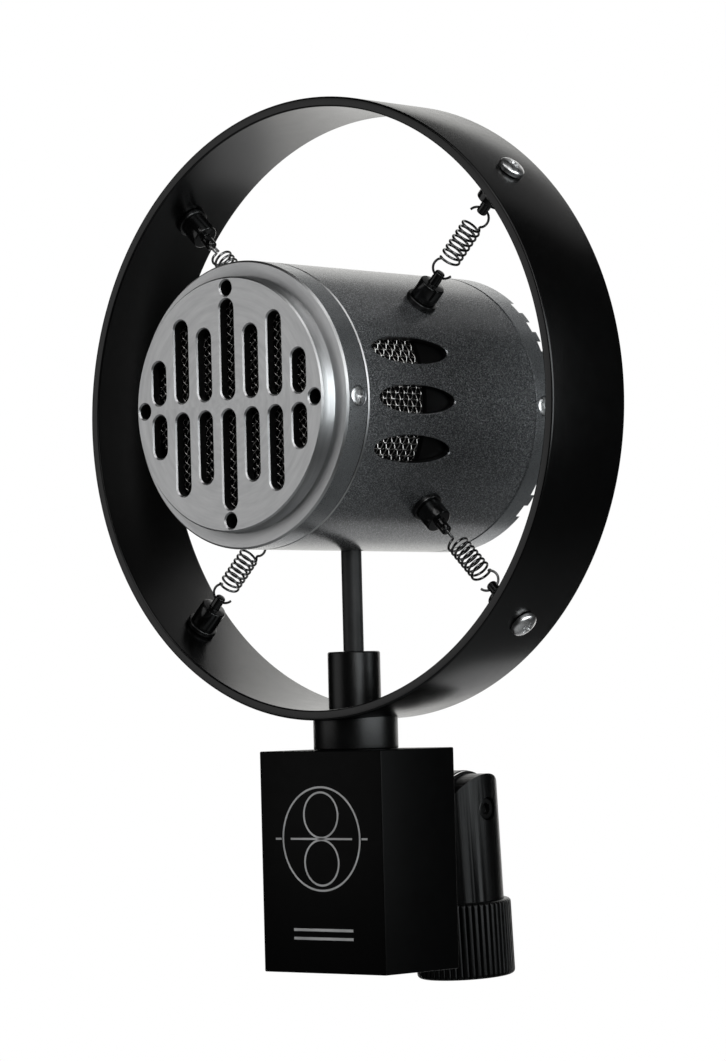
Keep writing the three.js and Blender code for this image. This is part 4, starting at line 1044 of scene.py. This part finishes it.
def pivot_bolt():
    """A shank along Z with a round head at its top, and a hexagon socket in the head."""
    tip, seat, top, shank, head = -8.9, 7.9, 10.5, 2.3, 2.8
    profile = [(0, tip, 0), (shank, tip, 0.3), (shank, seat, 0), (head, seat, 0.1)]
    profile += [(head, top, 0.4), (0, top, 0)]
    bolt = turned(eased(profile, 0, 3, closed=False), 64)
    return combined(bolt, [rod_mesh(1.73, 8.9, 11, segments=6)], bevel=0.06, steps=1)


def stand_collar():
    """A knurled nut: rounded upright ribs with rounded ends, over a threaded bore."""
    samples = 14
    count = COLLAR_RIBS * samples
    phase = (np.arange(count) % samples) / samples * 2 - 1
    rib = np.sqrt(np.clip(1 - (np.abs(phase) * 1.02) ** 2.6, 0, 1))
    angles = np.arange(count) * TURN / count
    ribbed = COLLAR_RADIUS - RIB_DEPTH * (1 - rib)
    ease = 1.1
    rings = [(0, ease)]
    for share in np.linspace(0.25, RIGHT_ANGLE, 6):
        rings.append((ease * (1 - math.cos(share)), ease * (1 - math.sin(share))))
    upper = [(COLLAR_HEIGHT - z, inset) for z, inset in rings[::-1]]
    outer = []
    for z, inset in [*rings, *upper]:
        radius = np.minimum(ribbed, COLLAR_RADIUS - inset)
        outer.append(np.column_stack([radius * np.cos(angles), radius * np.sin(angles), np.full(count, z)]))
    bore = [(9.0, COLLAR_HEIGHT), (9.0, 17), (10.4, 17), (10.4, 13.1), (THREAD_BORE, 13.1)]
    pitch = 0.94
    thread = []
    for turn in range(12):
        z = 12.6 - turn * pitch
        thread += [(THREAD_BORE, z), (THREAD_BORE + 0.45, z - pitch / 2)]
    bore += thread + [(THREAD_BORE, 1.0), (THREAD_BORE + 1, 0)]
    inner = [circle(r, count, z) for r, z in bore]
    return raw_mesh(Shape().loft([*outer, *inner], around=True))


AT_PIVOT = STAND @ moved(0, 0, PIVOT_HEIGHT) @ HEIGHT_ALONG_X
place("pivot_bracket_milled", pivot_bracket(), [BLACK_POST], "mic_frame", "pivot_bracket",
      MIC @ moved(0, 0, -PIVOT_BELOW_RING))
for side, sign in (("right", 1), ("left", -1)):
    seat = moved(sign * BRACKET_SCREW_X, BLOCK_DEPTH / 2 + GAP + 3.1, -PIVOT_BELOW_RING)
    node = f"bracket_screw_{side}"
    place(f"{node}_pan", pan_screw(2.6, 1.6, 1.4, 6.8), [BLACK_SCREW], "mic_frame", node,
          MIC @ seat @ Matrix.Rotation(-RIGHT_ANGLE, 4, "X"))
    friction_washer = washer(-0.5, 0.5, FRICTION_WASHER_RADIUS, PIVOT_BORE, 0.12)
    node = f"friction_washer_{side}"
    place(f"{node}_bright", friction_washer, [CHROME], "swivel_post", node,
          AT_PIVOT @ moved(0, 0, sign * (TONGUE_HALF + SLOT_HALF) / 2))
place("swivel_post_forked", swivel_post(), [BLACK_POST], "swivel_post", "swivel_post", STAND)
place("pivot_bolt_socketed", pivot_bolt(), [BLACK_SCREW], "swivel_post", "pivot_bolt",
      AT_PIVOT)
place("stand_collar_knurled", stand_collar(), [BLACK_POST], "stand_fitting", "stand_collar",
      STAND)

# ---- CAD pieces that stay as they are ----

KEPT = {
    "motor_frame": MAGNET_METAL, "magnet_right": MAGNET_METAL, "magnet_left": MAGNET_METAL, "ribbon": FOIL,
    "output_transformer": LAMINATION,
}
for node, look in KEPT.items():
    for material_slot in frame["nodes"][node].material_slots:
        material_slot.material = look

# ---- camera, light and floor ----

IMAGE_HEIGHT = 1061
FOCAL_PIXELS = 4113.3
SENSOR = 36.0
camera_data = bpy.data.cameras.new("camera")
camera_data.sensor_width = SENSOR
camera_data.lens = SENSOR * FOCAL_PIXELS / IMAGE_HEIGHT
camera = linked("camera", camera_data)
bpy.context.scene.camera = camera
AZIMUTH, ELEVATION, ROLL = math.radians(41.68), math.radians(-2.29), math.radians(-1.47)
DISTANCE, AIM_RIGHT, AIM_UP = 1065.61, 3.20, -31.20
backward = Vector((
    math.sin(AZIMUTH) * math.cos(ELEVATION), -math.cos(AZIMUTH) * math.cos(ELEVATION), math.sin(ELEVATION)
))
level = Vector((math.cos(AZIMUTH), math.sin(AZIMUTH), 0))
upward = level.cross(-backward)
camera_x = math.cos(ROLL) * level + math.sin(ROLL) * upward
camera_y = math.cos(ROLL) * upward - math.sin(ROLL) * level
eye = RING_MIDDLE + DISTANCE * backward + AIM_RIGHT * level + AIM_UP * upward
facing = Matrix((camera_x, camera_y, backward)).transposed().to_4x4()
camera.matrix_world = Matrix.Translation(eye * MM) @ facing


def softbox(name, azimuth, elevation, distance, width, height, radiance, colour=(1, 1, 1)):
    """A soft rectangular light aimed at the drum. Azimuth 0 is in front of the face and 90 on its right."""
    data = bpy.data.lights.new(name, "AREA")
    data.shape = "RECTANGLE"
    data.size, data.size_y = width, height
    data.energy = radiance * math.pi * width * height
    data.color = colour
    light = linked(name, data)
    a, e = math.radians(azimuth), math.radians(elevation)
    away = Vector((math.sin(a) * math.cos(e), -math.cos(a) * math.cos(e), math.sin(e)))
    light.location = RING_MIDDLE * MM + away * distance
    light.rotation_mode = "QUATERNION"
    light.rotation_quaternion = away.to_track_quat("Z", "Y")
    light.visible_camera = False


COOL, WARM = (0.93, 0.98, 1.0), (1.0, 0.995, 0.97)
softbox("key_right", 88, 6, 1.3, 1.5, 0.8, 3.6, COOL)
softbox("camera_right", 52, 22, 1.2, 0.35, 0.7, 2.6)
softbox("upper_right", 75, 50, 1.1, 0.6, 0.5, 0.7)
softbox("front_high", 18, 50, 1.1, 0.55, 0.5, 1.9)
softbox("backdrop", 214, 6, 0.65, 0.8, 0.8, 1.1, WARM)
softbox("back_high", 184, 43, 1.2, 0.7, 0.5, 0.2)
softbox("back_low", 218, -36, 0.9, 0.6, 0.35, 0.6)
softbox("front_left", -38, 4, 1.2, 0.9, 0.7, 0.7)


def camera_or_not(tree, other, seen, output):
    """Shows the camera one shader, and gives every other ray another."""
    rays = tree.nodes.new("ShaderNodeLightPath")
    choice = tree.nodes.new("ShaderNodeMixShader")
    tree.links.new(rays.outputs["Is Camera Ray"], choice.inputs[0])
    tree.links.new(other.outputs[0], choice.inputs[1])
    tree.links.new(seen.outputs[0], choice.inputs[2])
    tree.links.new(choice.outputs[0], output.inputs["Surface"])


world = bpy.data.worlds.new("world")
bpy.context.scene.world = world
world.use_nodes = True
sky = world.node_tree
white = sky.nodes["Background"]
dim = sky.nodes.new("ShaderNodeBackground")
for background, strength in ((white, 1.0), (dim, 0.012)):
    background.inputs["Color"].default_value = (1, 1, 1, 1)
    background.inputs["Strength"].default_value = strength
camera_or_not(sky, dim, white, sky.nodes["World Output"])

FLOOR_Z, FLOOR_RADIUS = -1.3, 4.0
floor_mesh = turned([(0, 0), (FLOOR_RADIUS, 0)], 96, moved(0, RING_MIDDLE.y * MM, FLOOR_Z))
floor = linked("floor", floor_mesh)
paper = bpy.data.materials.new("paper")
paper.use_nodes = True
paper_tree = paper.node_tree
matt = paper_tree.nodes["Principled BSDF"]
matt.inputs["Base Color"].default_value = (0.82, 0.82, 0.82, 1)
matt.inputs["Roughness"].default_value = 0.8
# The floor is far below the lights, so it gives the camera alone a pale glow of its own.
glow = paper_tree.nodes.new("ShaderNodeEmission")
glow.inputs["Strength"].default_value = 0.75
camera_or_not(paper_tree, matt, glow, paper_tree.nodes["Material Output"])
floor_mesh.materials.append(paper)

bpy.context.scene.view_settings.view_transform = "Standard"
